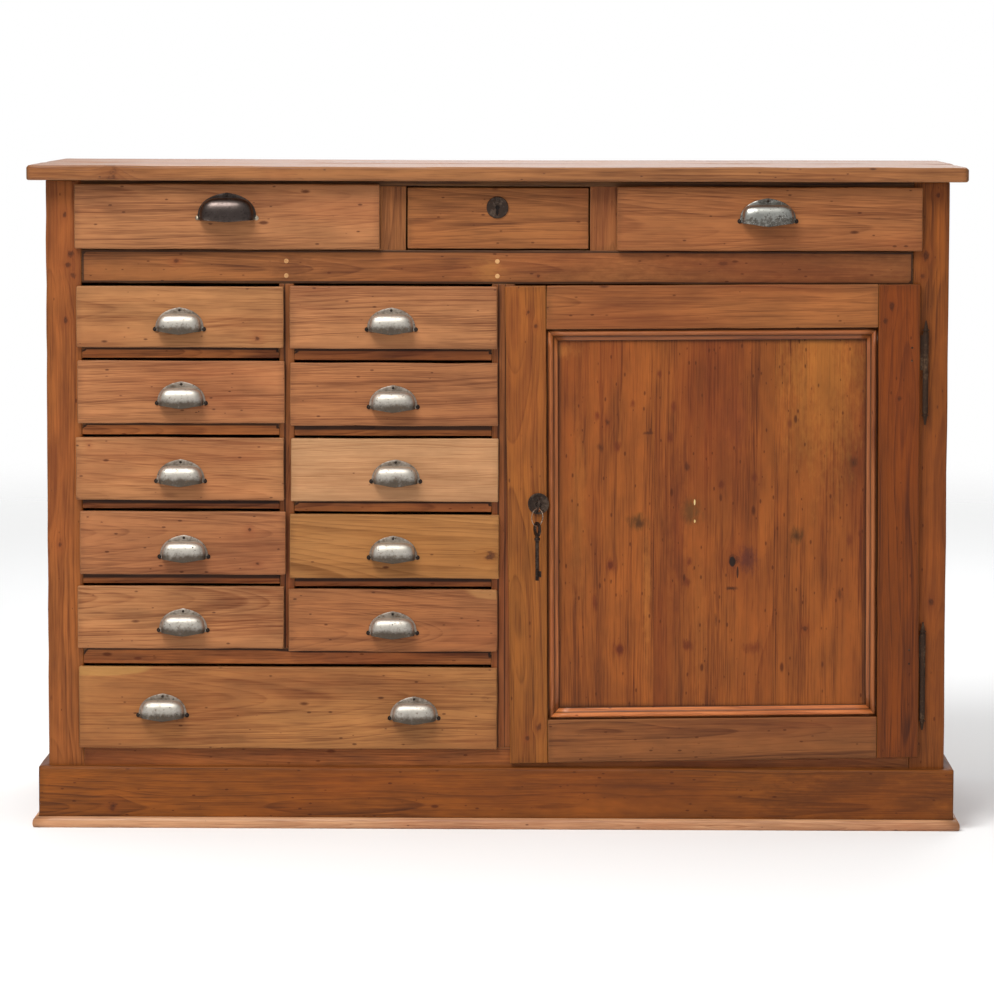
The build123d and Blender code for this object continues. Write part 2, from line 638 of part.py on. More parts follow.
# lock: keyhole through the stile, a sheet case behind it, a bolt
keyhole = rod_y(key_x, key_z, 4.2, y_f - 5, case_y[0] + 2) + bx(
    key_x - 2.4, key_x + 2.4, y_f - 5, case_y[0] + 2, key_z - bit_r - 1.2,
    key_z)
lock_stile -= keyhole
case = bx(*case_x, *case_y, *case_z)
case -= bx(case_x[0] + case_wall, case_x[1] - case_wall, case_y[0]
           + case_wall, case_y[1] - case_wall, case_z[0] + case_wall,
           case_z[1] - case_wall)
case -= bx(case_x[0] - 1, case_x[0] + 3, bolt_y[0] - 0.3, bolt_y[1] + 0.3,
           bolt_z[0] - 0.3, bolt_z[1] + 0.3)
case -= keyhole
case -= rod_y(key_x, key_z, 2.06, case_y[1] - 3, case_y[1] + 1)
# four screws at the corners of the case, into the stile
screws = []
for sx in (case_x[0] + 5.5, case_x[1] - 5.5):
    for sz in (case_z[0] + 5.5, case_z[1] - 5.5):
        case += rod_y(sx, sz, 3.2, case_y[0], case_y[1])
        case -= rod_y(sx, sz, 1.55, case_y[0] - 1, case_y[1] + 1)
        # the inner pair only clamps the case; the outer pair holds in wood
        deep = 2.0 if sx < 70 else case_y[0]
        screws.append(rod_y(sx, sz, 1.5, deep, case_y[1]) + rod_y(
            sx, sz, 2.8, case_y[1], case_y[1] + 1.0))
        if sx < 70:
            lock_stile -= rod_y(sx, sz, 1.55, 1.5, 13.0)
plate = rod_y(key_x, key_z, escutcheon_r, y_f - 1.6, y_f)
rim = rod_y(key_x, key_z, escutcheon_r, y_f - 3.0, y_f - 1.6) - rod_y(
    key_x, key_z, escutcheon_r - 2.6, y_f - 4.0, y_f)
plate = (plate + rim) - keyhole
add("door_lock", case, plate, *screws)

bolt = bx(*bolt_x, *bolt_y, *bolt_z)
tal = key_x + bolt_travel / 2
bolt -= bx(tal - 10.0, tal + 10.0, bolt_y[0] - 1, bolt_y[1] + 1,
           bolt_z[0] - 1, key_z + bit_r + 0.6)
add("door_lock_bolt", bolt)

add("door_lock_stile", lock_stile)
add("door_hinge_stile", hinge_stile)
add("door_rails", top_rail_d, bot_rail_d)

# key in the lock: its bow stands edge-on to the viewer
bow = extrude(Plane.YZ * Ellipse(*bow_half), amount=bow_t / 2, both=True)
bow -= extrude(Plane.YZ * Ellipse(*bow_hole), amount=bow_t, both=True)
bow = Pos(key_x, bow_y, key_z) * bow
key = bow + rod_y(key_x, key_z, key_r, bow_y + bow_half[0] - 1.2, 20.6)
key += rod_y(key_x, key_z, 4.6, bow_y + bow_half[0] + 1.0, bow_y
             + bow_half[0] + 4.0)
key += rod_y(key_x, key_z, 2.0, 20.0, case_y[1] + 0.8)
key += bx(key_x - 1.4, key_x + 1.4, 14.4, 20.2, key_z - bit_r, key_z)
key = Pos(key_x, 0, key_z) * Rot(0, key_lean, 0) * Pos(-key_x, 0,
                                                       -key_z) * key
add("door_key", key)

# ring through the bow, and the spare key that hangs from it
lean = math.radians(key_lean)
ring_top = key_z - bow_hole[1] * math.cos(lean) + ring_wire + ring_rise
ring_c = (key_x - bow_hole[1] * math.sin(lean), bow_y, ring_top - ring_r)
ring = Pos(*ring_c) * Rot(0, 0, ring_turn) * Rot(90, 0, 0) * Torus(
    ring_r, ring_wire)
add("key_ring", ring)

low_wire = ring_c[2] - ring_r                # wire centre at the bottom
sp_bow = extrude(Plane.XZ * Ellipse(10.0, 10.8), amount=1.5, both=True)
sp_bow -= extrude(Plane.XZ * Ellipse(6.0, 6.8), amount=3.0, both=True)
sp_bow = Pos(0, 0, -10.8) * sp_bow
spare = sp_bow + rod_z(0, 0, 2.6, -spare_len, -20.4)
spare += rod_z(0, 0, 4.2, -27.0, -23.5)
spare += bx(0, 11.5, -1.3, 1.3, -spare_len + 6.0, -spare_len + 14.5)
spare -= bx(6.5, 8.2, -2, 2, -spare_len + 11.0, -spare_len + 15)
spare_top = low_wire + ring_wire + 4.0 + 0.9      # outer top of the bow
spare = Pos(ring_c[0], ring_c[1], spare_top) * Rot(0, 0, -spare_turn) * spare
add("spare_key", spare)

# =====================================================================
# to the origin: the middle of the footprint, on the floor
# =====================================================================
boxes = [s.bounding_box() for lst in nodes.values() for s in lst]
y_lo = min(b.min.Y for b in boxes)
y_hi = max(b.max.Y for b in boxes)
shift = Pos(0, -(y_lo + y_hi) / 2, 0)
print("y shift", -(y_lo + y_hi) / 2, "front", y_lo, "back", y_hi)

for name, lst in nodes.items():
    print(name, len(lst), [round(s.volume) for s in lst][:8])
    if not lst:
        continue
    moved = [shift * s for s in lst]
    export_step(Compound(label=name, children=moved) if len(moved) > 1
                else moved[0], "parts/%s.step" % name)
print(len(nodes), "nodes,", sum(len(v) for v in nodes.values()), "solids")
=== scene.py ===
import math
import bpy
import numpy as np
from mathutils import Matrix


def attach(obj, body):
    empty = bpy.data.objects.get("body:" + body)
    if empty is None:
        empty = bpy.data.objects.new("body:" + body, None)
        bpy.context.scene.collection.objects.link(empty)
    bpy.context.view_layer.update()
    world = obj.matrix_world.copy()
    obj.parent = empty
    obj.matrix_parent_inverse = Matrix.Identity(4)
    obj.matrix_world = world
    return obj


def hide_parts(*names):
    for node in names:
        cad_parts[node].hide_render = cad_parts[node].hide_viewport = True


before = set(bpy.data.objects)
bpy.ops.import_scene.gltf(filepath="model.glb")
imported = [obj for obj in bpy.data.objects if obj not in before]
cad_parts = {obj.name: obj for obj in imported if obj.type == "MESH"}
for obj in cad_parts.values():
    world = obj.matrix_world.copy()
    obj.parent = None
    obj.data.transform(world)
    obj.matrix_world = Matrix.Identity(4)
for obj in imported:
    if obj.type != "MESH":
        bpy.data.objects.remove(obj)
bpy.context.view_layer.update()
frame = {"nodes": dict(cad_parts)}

# Seed storage cabinet, floor-standing, in old waxed pine.  All lengths below
# are in millimetres in the modelling frame of the CAD part (y = 0 is the
# front face of the stiles); place() brings them to metres in the row frame.
Y_SHIFT = -215.9


def place(v):
    v = np.asarray(v, float).copy()
    v[:, 1] += Y_SHIFT
    return v * 0.001


# ---------------------------------------------------------------------------
# mesh building
# ---------------------------------------------------------------------------
def swell(p, seed, wave):
    """Smooth seeded wander between about -1 and 1, at the given wavelength."""
    rng = np.random.RandomState(seed)
    out = np.zeros(len(p))
    for k in range(5):
        d = rng.normal(size=3)
        d /= np.linalg.norm(d)
        f = 2 * math.pi / (wave * (0.55 + 0.9 * rng.rand()))
        out += np.sin(p @ d * f + rng.rand() * 2 * math.pi)
    return out / 2.6


def stations(lo, hi, r, cell, near=()):
    """Grid positions along one side of a board, close together at its edges."""
    L = hi - lo
    r = min(r, L / 2.3)
    a = [0.0, 0.586 * r, r] + [q for q in near if r * 1.4 < q < L * 0.42]
    n = max(1, int(round((L - 2 * a[-1]) / cell)))
    mid = [a[-1] + (L - 2 * a[-1]) * i / n for i in range(1, n)]
    return lo + np.array(a + mid + [L - q for q in reversed(a)]), r


AX = {"x": 0, "y": 1, "z": 2}
_count = [0]


def board(x0, x1, y0, y1, z0, z1, grain="xzy", r=1.6, seed=None, wob=(0.25, 0.12, 0.25),
          cell=38.0, near=(7.0, 18.0), post=None, tint=0.0, wave=120.0, rvar=0.35,
          mat=0, dents=0.0):
    """A worn board: rounded edges, a little out of true.  grain = the axes
    that run along, across and through the wood."""
    _count[0] += 1
    seed = _count[0] * 7 + 3 if seed is None else seed
    lo, hi = np.array([x0, y0, z0], float), np.array([x1, y1, z1], float)
    r = min(r, (hi - lo).min() / 2.3)
    g = [stations(lo[i], hi[i], r, cell, near)[0] for i in range(3)]
    n = [len(q) for q in g]
    I, J, K = np.meshgrid(*[np.arange(q) for q in n], indexing="ij")
    on = (I == 0) | (I == n[0] - 1) | (J == 0) | (J == n[1] - 1) | (K == 0) | (K == n[2] - 1)
    idx = -np.ones(n, int)
    idx[on] = np.arange(on.sum())
    p = np.stack([g[0][I[on]], g[1][J[on]], g[2][K[on]]], 1)
    dist = np.minimum(p - lo, hi - p)
    edge = np.sort(dist, axis=1)[:, 1]
    # rounding, with a radius that wanders along the edge
    rv = r * (1 + rvar * swell(p, seed + 11, 70.0))
    rv = np.clip(rv, 0.35 * r, min(1.6 * r, (hi - lo).min() / 2.05))[:, None]
    inner = np.clip(p, lo + rv, hi - rv)
    d = p - inner
    L = np.linalg.norm(d, axis=1, keepdims=True)
    q = np.where(L > 1e-9, inner + d / np.maximum(L, 1e-9) * rv, p)
    # keep faces flat: only the part of a face outside the rounding moves
    flat = (np.abs(d) > 1e-9).sum(1) <= 1
    q[flat] = p[flat]
    if dents:
        e = np.exp(-(edge / 2.5) ** 2)
        m = np.clip(swell(p, seed + 21, 34.0) - 0.55, 0, 1) * e * dents
        c = (lo + hi) / 2
        away = np.sign(c - q) * (np.abs(d) > 1e-9)
        q = q + away * m[:, None]
    move = np.stack([swell(p, seed + 1, wave) * wob[0], swell(p, seed + 2, wave) * wob[1],
                     swell(p, seed + 3, wave) * wob[2]], 1)
    move = np.clip(move, -np.array(wob), np.array(wob))
    a = [AX[c] for c in grain]
    c = (lo + hi) / 2
    gr = (p - c)[:, a] * 0.001
    ends = (dist[:, a[0]] < 1e-6).astype(float)
    faces = []
    for ax in range(3):
        for side in (0, n[ax] - 1):
            f = np.take(idx, side, axis=ax)
            A, B, C, D = f[:-1, :-1], f[1:, :-1], f[1:, 1:], f[:-1, 1:]
            quad = np.stack([A, B, C, D], -1).reshape(-1, 4)
            flip = (side == 0) != (ax == 1)
            faces.append(quad[:, ::-1] if flip else quad)
    q = q + move
    if post is not None:
        q = post(q, p)
    rs = np.random.RandomState(seed)
    return {"v": q, "f": np.concatenate(faces), "grain": gr, "edge": edge * 0.001,
            "bs": np.full(len(q), rs.rand() * 40.0), "bt": np.full(len(q), tint),
            "eg": ends, "mat": mat}


def strip(rows, closed=False, grain="xzy", seed=1, tint=0.0, mat=0, edge=None, caps=True, center=None,
          flip=False):
    """A bar whose cross-sections are the given rings of points."""
    rows = np.asarray(rows, float)                 # sections, points, 3
    m, k = rows.shape[:2]
    idx = np.arange(m * k).reshape(m, k)
    A, B = idx[:-1], idx[1:]
    A2, B2 = np.roll(A, -1, 1), np.roll(B, -1, 1)
    if not closed:
        A, B, A2, B2 = A[:, :-1], B[:, :-1], A2[:, :-1], B2[:, :-1]
    f = np.stack([A, A2, B2, B], -1).reshape(-1, 4)
    faces = [list(x[::-1] if flip else x) for x in f]
    if caps and closed:
        first, last = list(idx[0][::-1]), list(idx[-1])
        if flip:
            first, last = first[::-1], last[::-1]
        faces += [first, last]
    v = rows.reshape(-1, 3)
    c = v.mean(0) if center is None else np.asarray(center, float)
    a = [AX[q] for q in grain]
    rs = np.random.RandomState(seed)
    e = np.full(len(v), 0.02) if edge is None else np.asarray(edge, float).reshape(-1) * 0.001
    return {"v": v, "f": faces, "grain": (v - c)[:, a] * 0.001, "edge": e,
            "bs": np.full(len(v), rs.rand() * 40.0), "bt": np.full(len(v), tint),
            "eg": np.zeros(len(v)), "mat": mat}


def weld(q):
    """Joins points that coincide and drops the faces that vanish by it."""
    key = np.round(q["v"] / 1e-4).astype(np.int64)
    first, inv = np.unique(key, axis=0, return_index=True, return_inverse=True)[1:]
    inv = np.asarray(inv).reshape(-1)
    out = dict(q)
    out["f"] = []
    for x in q["f"]:
        y = [int(inv[i]) for i in x]
        y = [a for a, b in zip(y, y[1:] + y[:1]) if a != b]
        if len(y) > 2 and len(y) == len(set(y)):
            out["f"].append(y)
    for k in ("v", "grain", "edge", "bs", "bt", "eg"):
        out[k] = np.asarray(q[k])[first]
    return out


def pocket(q, *boxes):
    """Cuts square mortises into a board: boxes are x0, x1, y0, y1, z0, z1."""
    def thing(v, f):
        me = bpy.data.meshes.new("pocket_tmp")
        me.from_pydata(np.asarray(v).tolist(), [], f)
        me.update()
        ob = bpy.data.objects.new("pocket_tmp", me)
        bpy.context.scene.collection.objects.link(ob)
        return ob

    f = q["f"].tolist() if isinstance(q["f"], np.ndarray) else q["f"]
    obs = [thing(q["v"] * 0.01, f)]
    for x0, x1, y0, y1, z0, z1 in boxes:
        c = [(x, y, z) for x in (x0, x1) for y in (y0, y1) for z in (z0, z1)]
        fc = [(0, 1, 3, 2), (4, 6, 7, 5), (0, 4, 5, 1), (2, 3, 7, 6), (0, 2, 6, 4), (1, 5, 7, 3)]
        obs.append(thing(np.array(c) * 0.01, fc))
        mod = obs[0].modifiers.new("cut", "BOOLEAN")
        mod.operation, mod.solver, mod.object = "DIFFERENCE", "EXACT", obs[-1]
    bpy.context.view_layer.update()
    me = bpy.data.meshes.new_from_object(obs[0].evaluated_get(bpy.context.evaluated_depsgraph_get()))
    v = np.array([tuple(w.co) for w in me.vertices]) * 100.0
    nf = [list(w.vertices) for w in me.polygons]
    for ob in obs:
        old = ob.data
        bpy.data.objects.remove(ob)
        bpy.data.meshes.remove(old)
    bpy.data.meshes.remove(me)
    A = np.c_[q["v"], np.ones(len(q["v"]))]
    fit = np.linalg.lstsq(A, q["grain"], rcond=None)[0]
    near = np.array([np.argmin(((q["v"] - w) ** 2).sum(1)) for w in v])
    same = np.linalg.norm(q["v"][near] - v, axis=1) < 1e-3
    out = dict(q)
    out["v"], out["f"] = v, nf
    for k in ("edge", "bs", "bt", "eg"):
        out[k] = np.asarray(q[k], float)[near]
    out["grain"] = np.where(same[:, None], q["grain"][near], np.c_[v, np.ones(len(v))] @ fit)
    return out


def emit(name, parts, mats, body, nodes=(), own_normals=True):
    """Joins parts into one object that rides on a body."""
    V, F, M = [], [], []
    at = {k: [] for k in ("grain", "edge", "bs", "bt", "eg")}
    base = 0
    for q in parts:
        V.append(place(q["v"]))
        f = q["f"].tolist() if isinstance(q["f"], np.ndarray) else q["f"]
        F += [[i + base for i in x] for x in f]
        M += [q.get("mat", 0)] * len(f)
        for k in at:
            at[k].append(np.asarray(q[k], float))
        base += len(q["v"])
    V = np.concatenate(V)
    me = bpy.data.meshes.new(name)
    me.from_pydata(V.tolist(), [], F)
    me.validate()
    me.polygons.foreach_set("material_index", np.array(M[:len(me.polygons)], np.int32))
    me.polygons.foreach_set("use_smooth", np.ones(len(me.polygons), bool))
    for k, dim in (("grain", 3), ("edge", 1), ("bs", 1), ("bt", 1), ("eg", 1)):
        data = np.concatenate(at[k]).astype(np.float32)
        t = me.attributes.new(k, "FLOAT_VECTOR" if dim == 3 else "FLOAT", "POINT")
        t.data.foreach_set("vector" if dim == 3 else "value", data.ravel())
    for m in (mats if isinstance(mats, (list, tuple)) else [mats]):
        me.materials.append(m)
    me.update()
    if own_normals:
        nv = np.zeros((len(V), 3))
        npoly = len(me.polygons)
        nrm = np.zeros(npoly * 3, np.float32)
        area = np.zeros(npoly, np.float32)
        me.polygons.foreach_get("normal", nrm)
        me.polygons.foreach_get("area", area)
        nrm = nrm.reshape(-1, 3) * area[:, None]
        ls = np.zeros(npoly, np.int32)
        lt = np.zeros(npoly, np.int32)
        me.polygons.foreach_get("loop_start", ls)
        me.polygons.foreach_get("loop_total", lt)
        vi = np.zeros(len(me.loops), np.int32)
        me.loops.foreach_get("vertex_index", vi)
        pl = np.repeat(np.arange(npoly), lt)
        np.add.at(nv, vi, nrm[pl])
        nv /= np.maximum(np.linalg.norm(nv, axis=1, keepdims=True), 1e-20)
        me.normals_split_custom_set_from_vertices(nv.tolist())
    ob = bpy.data.objects.new(name, me)
    bpy.context.scene.collection.objects.link(ob)
    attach(ob, body)
    if nodes:
        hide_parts(*nodes)
    return ob


# ---------------------------------------------------------------------------
# node building
# ---------------------------------------------------------------------------
def srgb(r, g, b):
    def lin(c):
        c /= 255.0
        return c / 12.92 if c <= 0.04045 else ((c + 0.055) / 1.055) ** 2.4
    return (lin(r), lin(g), lin(b), 1.0)


class Net:
    def __init__(self, tree):
        self.t = tree
        self.x = 0

    def node(self, kind, **props):
        n = self.t.nodes.new(kind)
        self.x += 1
        n.location = (self.x * 40, -(self.x % 7) * 60)
        for k, v in props.items():
            setattr(n, k, v)
        return n

    def put(self, sock, v):
        if isinstance(v, bpy.types.NodeSocket):
            self.t.links.new(v, sock)
        elif v is not None:
            sock.default_value = v

    def m(self, op, a, b=None, c=None, clamp=False):
        n = self.node("ShaderNodeMath", operation=op, use_clamp=clamp)
        self.put(n.inputs[0], a)
        self.put(n.inputs[1], b)
        if c is not None:
            self.put(n.inputs[2], c)
        return n.outputs[0]

    def add(self, a, b): return self.m("ADD", a, b)
    def sub(self, a, b): return self.m("SUBTRACT", a, b)
    def mul(self, a, b): return self.m("MULTIPLY", a, b)
    def mad(self, a, b, c): return self.m("MULTIPLY_ADD", a, b, c)

    def vm(self, op, a, b=None):
        n = self.node("ShaderNodeVectorMath", operation=op)
        self.put(n.inputs[0], a)
        self.put(n.inputs[1], b)
        return n.outputs[1] if op in ("LENGTH", "DOT_PRODUCT", "DISTANCE") else n.outputs[0]

    def vec(self, x, y, z):
        n = self.node("ShaderNodeCombineXYZ")
        self.put(n.inputs[0], x)
        self.put(n.inputs[1], y)
        self.put(n.inputs[2], z)
        return n.outputs[0]

    def sep(self, v):
        n = self.node("ShaderNodeSeparateXYZ")
        self.put(n.inputs[0], v)
        return n.outputs

    def noise(self, v, scale=1.0, detail=2.0, rough=0.5, dist=0.0, color=False):
        n = self.node("ShaderNodeTexNoise")
        self.put(n.inputs["Vector"], v)
        n.inputs["Scale"].default_value = scale
        n.inputs["Detail"].default_value = detail
        n.inputs["Roughness"].default_value = rough
        n.inputs["Distortion"].default_value = dist
        return n.outputs["Color"] if color else n.outputs[0]

    def noise1(self, w, scale=1.0, detail=0.0):
        n = self.node("ShaderNodeTexNoise", noise_dimensions="1D")
        self.put(n.inputs["W"], w)
        n.inputs["Scale"].default_value = scale
        n.inputs["Detail"].default_value = detail
        return n.outputs[0]

    def white1(self, w):
        n = self.node("ShaderNodeTexWhiteNoise", noise_dimensions="1D")
        self.put(n.inputs["W"], w)
        return n.outputs["Value"]

    def voronoi(self, v, feature="F1"):
        n = self.node("ShaderNodeTexVoronoi", feature=feature)
        self.put(n.inputs["Vector"], v)
        n.inputs["Scale"].default_value = 1.0
        return n.outputs["Distance"], n.outputs["Color"]

    def step(self, v, a, b, lo=0.0, hi=1.0):
        """Smooth step from lo at a to hi at b."""
        n = self.node("ShaderNodeMapRange", interpolation_type="SMOOTHSTEP")
        self.put(n.inputs["Value"], v)
        self.put(n.inputs["From Min"], a)
        self.put(n.inputs["From Max"], b)
        n.inputs["To Min"].default_value = lo
        n.inputs["To Max"].default_value = hi
        return n.outputs[0]

    def mix(self, f, a, b, blend="MIX"):
        n = self.node("ShaderNodeMix", data_type="RGBA", blend_type=blend)
        n.clamp_factor = True
        self.put(n.inputs[0], f)
        self.put(n.inputs[6], a)
        self.put(n.inputs[7], b)
        return n.outputs[2]

    def scale_color(self, c, f):
        """Colour times a number."""
        n = self.node("ShaderNodeVectorMath", operation="SCALE")
        self.put(n.inputs[0], c)
        self.put(n.inputs[3], f)
        return n.outputs[0]

    def attr(self, name):
        return self.node("ShaderNodeAttribute", attribute_name=name, attribute_type="GEOMETRY")


def new_material(name):
    m = bpy.data.materials.new(name)
    m.use_nodes = True
    t = m.node_tree
    for n in list(t.nodes):
        t.nodes.remove(n)
    g = Net(t)
    out = g.node("ShaderNodeOutputMaterial")
    p = g.node("ShaderNodeBsdfPrincipled")
    t.links.new(p.outputs[0], out.inputs[0])
    return m, g, p


def pine(name, light, dark, warm, gain=1.0, spacing=4.5, pith=(8.0, -60.0), tilt=0.04,
         ring=0.75, fibre=0.8, blotch=0.6, mottle=0.35, speck=0.35, pin=0.10, holes=0.05,
         rough=0.52, grime=0.5, wear=0.5, knots=(), stains=(), streaks_and_painted_shade=(), gloss=0.28,
         bump=0.5, warm_shift=0.0, mul=(0.74, 0.70, 0.62), painted_edge_shade=None):
    """Old waxed pine.  The wood is a solid: growth rings round a pith line,
    fibres, blotches of wax and age, flecks, worm holes, knots that bend the
    rings, darkening near the edges (dirt, and painted shade where a board's
    edge attribute follows a shaded place), a painted shade band along the
    edges where one is given, and worn arrises.
    knots: (u, v, radius, kind) in mm from the middle of the board.
    stains: (u, v, ru, rv, colour, amount); the hard-edged marks take the same:
    real streak marks, and dark bands painted where shade falls."""
    m, g, p = new_material(name)
    grain = g.attr("grain").outputs["Vector"]
    bs = g.attr("bs").outputs["Fac"]
    bt = g.attr("bt").outputs["Fac"]
    edge = g.attr("edge").outputs["Fac"]
    eg = g.attr("eg").outputs["Fac"]
    u, v, w = g.sep(grain)
    off = g.vec(g.mul(bs, 7.31), g.mul(bs, 3.17), g.mul(bs, 5.73))
    q = g.vm("ADD", grain, off)
    # warp of the grain
    wc = g.sep(g.noise(g.vm("MULTIPLY", q, (2.6, 9.0, 9.0)), detail=1.5, color=True))
    v1 = g.mad(g.sub(wc[0], 0.5), 0.030, v)
    w1 = g.mad(g.sub(wc[1], 0.5), 0.034, w)
    wob = g.noise(g.vm("MULTIPLY", q, (62.0, 150.0, 150.0)), detail=3.0, rough=0.65)
    kmask = None
    halo = None
    kring = None
    for ku, kv, kr, kind in knots:
        el = {"oval": 1.45, "round": 1.05, "long": 2.4, "cross": 0.7}.get(kind, 1.2)
        du = g.mul(g.sub(u, ku * 0.001), 1.0 / el)
        dv = g.sub(v, kv * 0.001)
        d = g.mul(g.m("SQRT", g.add(g.mul(du, du), g.mul(dv, dv))), 1000.0 / kr)
        bend = g.m("POWER", 2.718, g.mul(g.mul(d, d), -0.16))
        v1 = g.sub(v1, g.mul(g.mul(dv, bend), 0.85))
        dd = g.mad(g.sub(wob, 0.5), 2.6, d)
        k = g.step(dd, 1.25, 0.35)
        h = g.mul(g.m("POWER", 2.718, g.mul(g.mul(dd, dd), -0.16)), 1.0)
        kmask = k if kmask is None else g.m("MAXIMUM", kmask, k)
        halo = h if halo is None else g.m("MAXIMUM", halo, h)
        kr1 = g.m("FRACT", g.mul(dd, 2.6))
        kring = g.mul(kr1, k) if kring is None else g.m("MAXIMUM", kring, g.mul(kr1, k))
    a = g.sub(v1, pith[0] * 0.001)
    b = g.sub(w1, pith[1] * 0.001)
    rad = g.m("SQRT", g.add(g.mul(a, a), g.mul(b, b)))
    rad = g.mad(u, tilt, rad)
    R = g.mad(rad, 1000.0 / spacing, g.mul(bs, 0.77))
    R = g.mad(g.noise1(R, 0.55, 1.0), 2.2, R)
    fr = g.m("FRACT", R)
    prof = g.mul(g.m("POWER", fr, 2.0), g.step(fr, 1.0, 0.86))
    amp = g.mad(g.white1(g.m("FLOOR", R)), 0.75, 0.4)
    prof = g.mul(prof, amp)
    f1 = g.noise(g.vm("MULTIPLY", q, (8.0, 400.0, 400.0)), detail=3.0, rough=0.66)
    f2 = g.noise(g.vm("MULTIPLY", q, (26.0, 900.0, 900.0)), detail=1.0)
    b1 = g.noise(g.vm("MULTIPLY", q, (2.2, 8.5, 8.5)), detail=2.0)
    b2 = g.noise(g.vm("MULTIPLY", q, (11.0, 34.0, 34.0)), detail=3.0, rough=0.6)
    b3 = g.noise(g.vm("MULTIPLY", q, (3.0, 60.0, 60.0)), detail=1.0)
    tone = g.mad(prof, ring, 0.10)
    tone = g.mad(g.sub(f1, 0.5), fibre * 2.5, tone)
    tone = g.mad(g.sub(f2, 0.5), fibre * 1.2, tone)
    tone = g.mad(g.sub(b3, 0.5), fibre * 1.8, tone)
    tone = g.m("MAXIMUM", g.m("MINIMUM", tone, 1.0), 0.0)
    col = g.mix(tone, light, dark)
    wf = g.step(g.add(b1, warm_shift), 0.42, 0.68)
    col = g.mix(g.mul(wf, blotch), col, g.mix(0.6, col, warm))
    # broad light and dark of age and wax
    val = g.mad(g.sub(b2, 0.5), mottle * 2.7, 1.0)
    val = g.mul(val, g.mad(g.sub(wc[2], 0.5), blotch * 0.55, 1.0))
    val = g.mul(val, g.add(bt, 1.0))
    val = g.mul(val, gain)
    # flecks along the grain
    d1, c1 = g.voronoi(g.vm("MULTIPLY", q, (46.0, 105.0, 105.0)))
    cs = g.sep(c1)
    rr = g.mad(cs[1], 0.16, 0.05)
    fl = g.mul(g.m("GREATER_THAN", speck * 1.35, cs[0]), g.step(g.m("DIVIDE", d1, rr), 1.0, 0.45))
    d2, c2 = g.voronoi(g.vm("MULTIPLY", q, (17.0, 44.0, 44.0)))
    cs2 = g.sep(c2)
    rr2 = g.mad(cs2[1], 0.10, 0.06)
    fl2 = g.mul(g.m("GREATER_THAN", pin * 1.3, cs2[0]), g.step(g.m("DIVIDE", d2, rr2), 1.1, 0.4))
    fleck = g.m("MAXIMUM", g.mul(fl, 0.56), g.mul(fl2, 0.66))
    d3, c3 = g.voronoi(g.vm("MULTIPLY", q, (33.0, 38.0, 38.0)))
    cs3 = g.sep(c3)
    hole = g.mul(g.m("GREATER_THAN", holes, cs3[0]), g.step(d3, 0.040, 0.022))
    if halo is not None:
        col = g.mix(g.mul(halo, 0.5), col, g.mix(0.6, dark, warm))
        col = g.mix(g.mul(kmask, 0.86), col, g.mix(kring, srgb(104, 52, 26), srgb(52, 26, 15)))
    for su, sv, ru, rv, sc, am in stains:
        du = g.mul(g.sub(u, su * 0.001), 1000.0 / ru)
        dv = g.mul(g.sub(v, sv * 0.001), 1000.0 / rv)
        d = g.m("SQRT", g.add(g.mul(du, du), g.mul(dv, dv)))
        d = g.mad(g.sub(wob, 0.5), 2.2, g.mad(g.sub(b2, 0.5), 0.9, d))
        col = g.mix(g.mul(g.step(d, 1.35, 0.15), am), col, sc)
    for su, sv, ru, rv, sc, am in streaks_and_painted_shade:
        du = g.mul(g.sub(u, su * 0.001), 1000.0 / ru)
        dv = g.mul(g.sub(v, sv * 0.001), 1000.0 / rv)
        d = g.m("SQRT", g.add(g.mul(du, du), g.mul(dv, dv)))
        d = g.mad(g.sub(b2, 0.5), 0.7, d)
        col = g.mix(g.mul(g.step(d, 1.05, 0.85), am), col, sc)
    col = g.mix(g.mul(fleck, 1.25), col, srgb(100, 48, 24))
    val = g.mul(val, g.mad(fleck, -0.28, 1.0))
    val = g.mul(val, g.mad(hole, -0.72, 1.0))
    # darker near the edges and in the end grain (dirt, and painted shade where a board's edge attribute follows a
    # shaded place), a painted shade band along the edges where one is given, bright worn arrises
    gr = g.mul(g.step(edge, 0.013, 0.0), g.step(b2, 0.30, 0.62))
    val = g.mul(val, g.mad(gr, -0.42 * grime, 1.0))
    val = g.mul(val, g.mad(eg, -0.25, 1.0))
    # painted shade: a dark band along the board's edges, where such a band is given
    if painted_edge_shade is not None:
        val = g.mul(val, g.mad(g.step(edge, painted_edge_shade[0], painted_edge_shade[1]), -painted_edge_shade[2], 1.0))
    col = g.scale_color(col, val)
    we = g.mul(g.step(edge, 0.0016, 0.0004), g.step(f1, 0.40, 0.56))
    col = g.mix(g.mul(we, wear * 0.75), col, g.scale_color(g.mix(0.25, light, srgb(222, 176, 128)), gain))
    g.put(p.inputs["Base Color"], g.vm("MULTIPLY", col, mul))
    ro = g.mad(g.sub(b2, 0.5), 0.30, rough)
    ro = g.mad(prof, 0.08, ro)
    ro = g.m("MINIMUM", g.mad(fleck, 0.25, ro), 0.95)
    g.put(p.inputs["Roughness"], ro)
    p.inputs["Specular IOR Level"].default_value = gloss
    p.inputs["IOR"].default_value = 1.46
    hgt = g.mad(f1, 0.55, g.mul(prof, 0.45))
    hgt = g.mad(fleck, -0.9, hgt)
    hgt = g.mad(hole, -3.0, hgt)
    hgt = g.mad(b2, 0.9, hgt)
    bn = g.node("ShaderNodeBump")
    bn.inputs["Strength"].default_value = bump
    bn.inputs["Distance"].default_value = 0.0009
    g.put(bn.inputs["Height"], hgt)
    g.t.links.new(bn.outputs[0], p.inputs["Normal"])
    return m


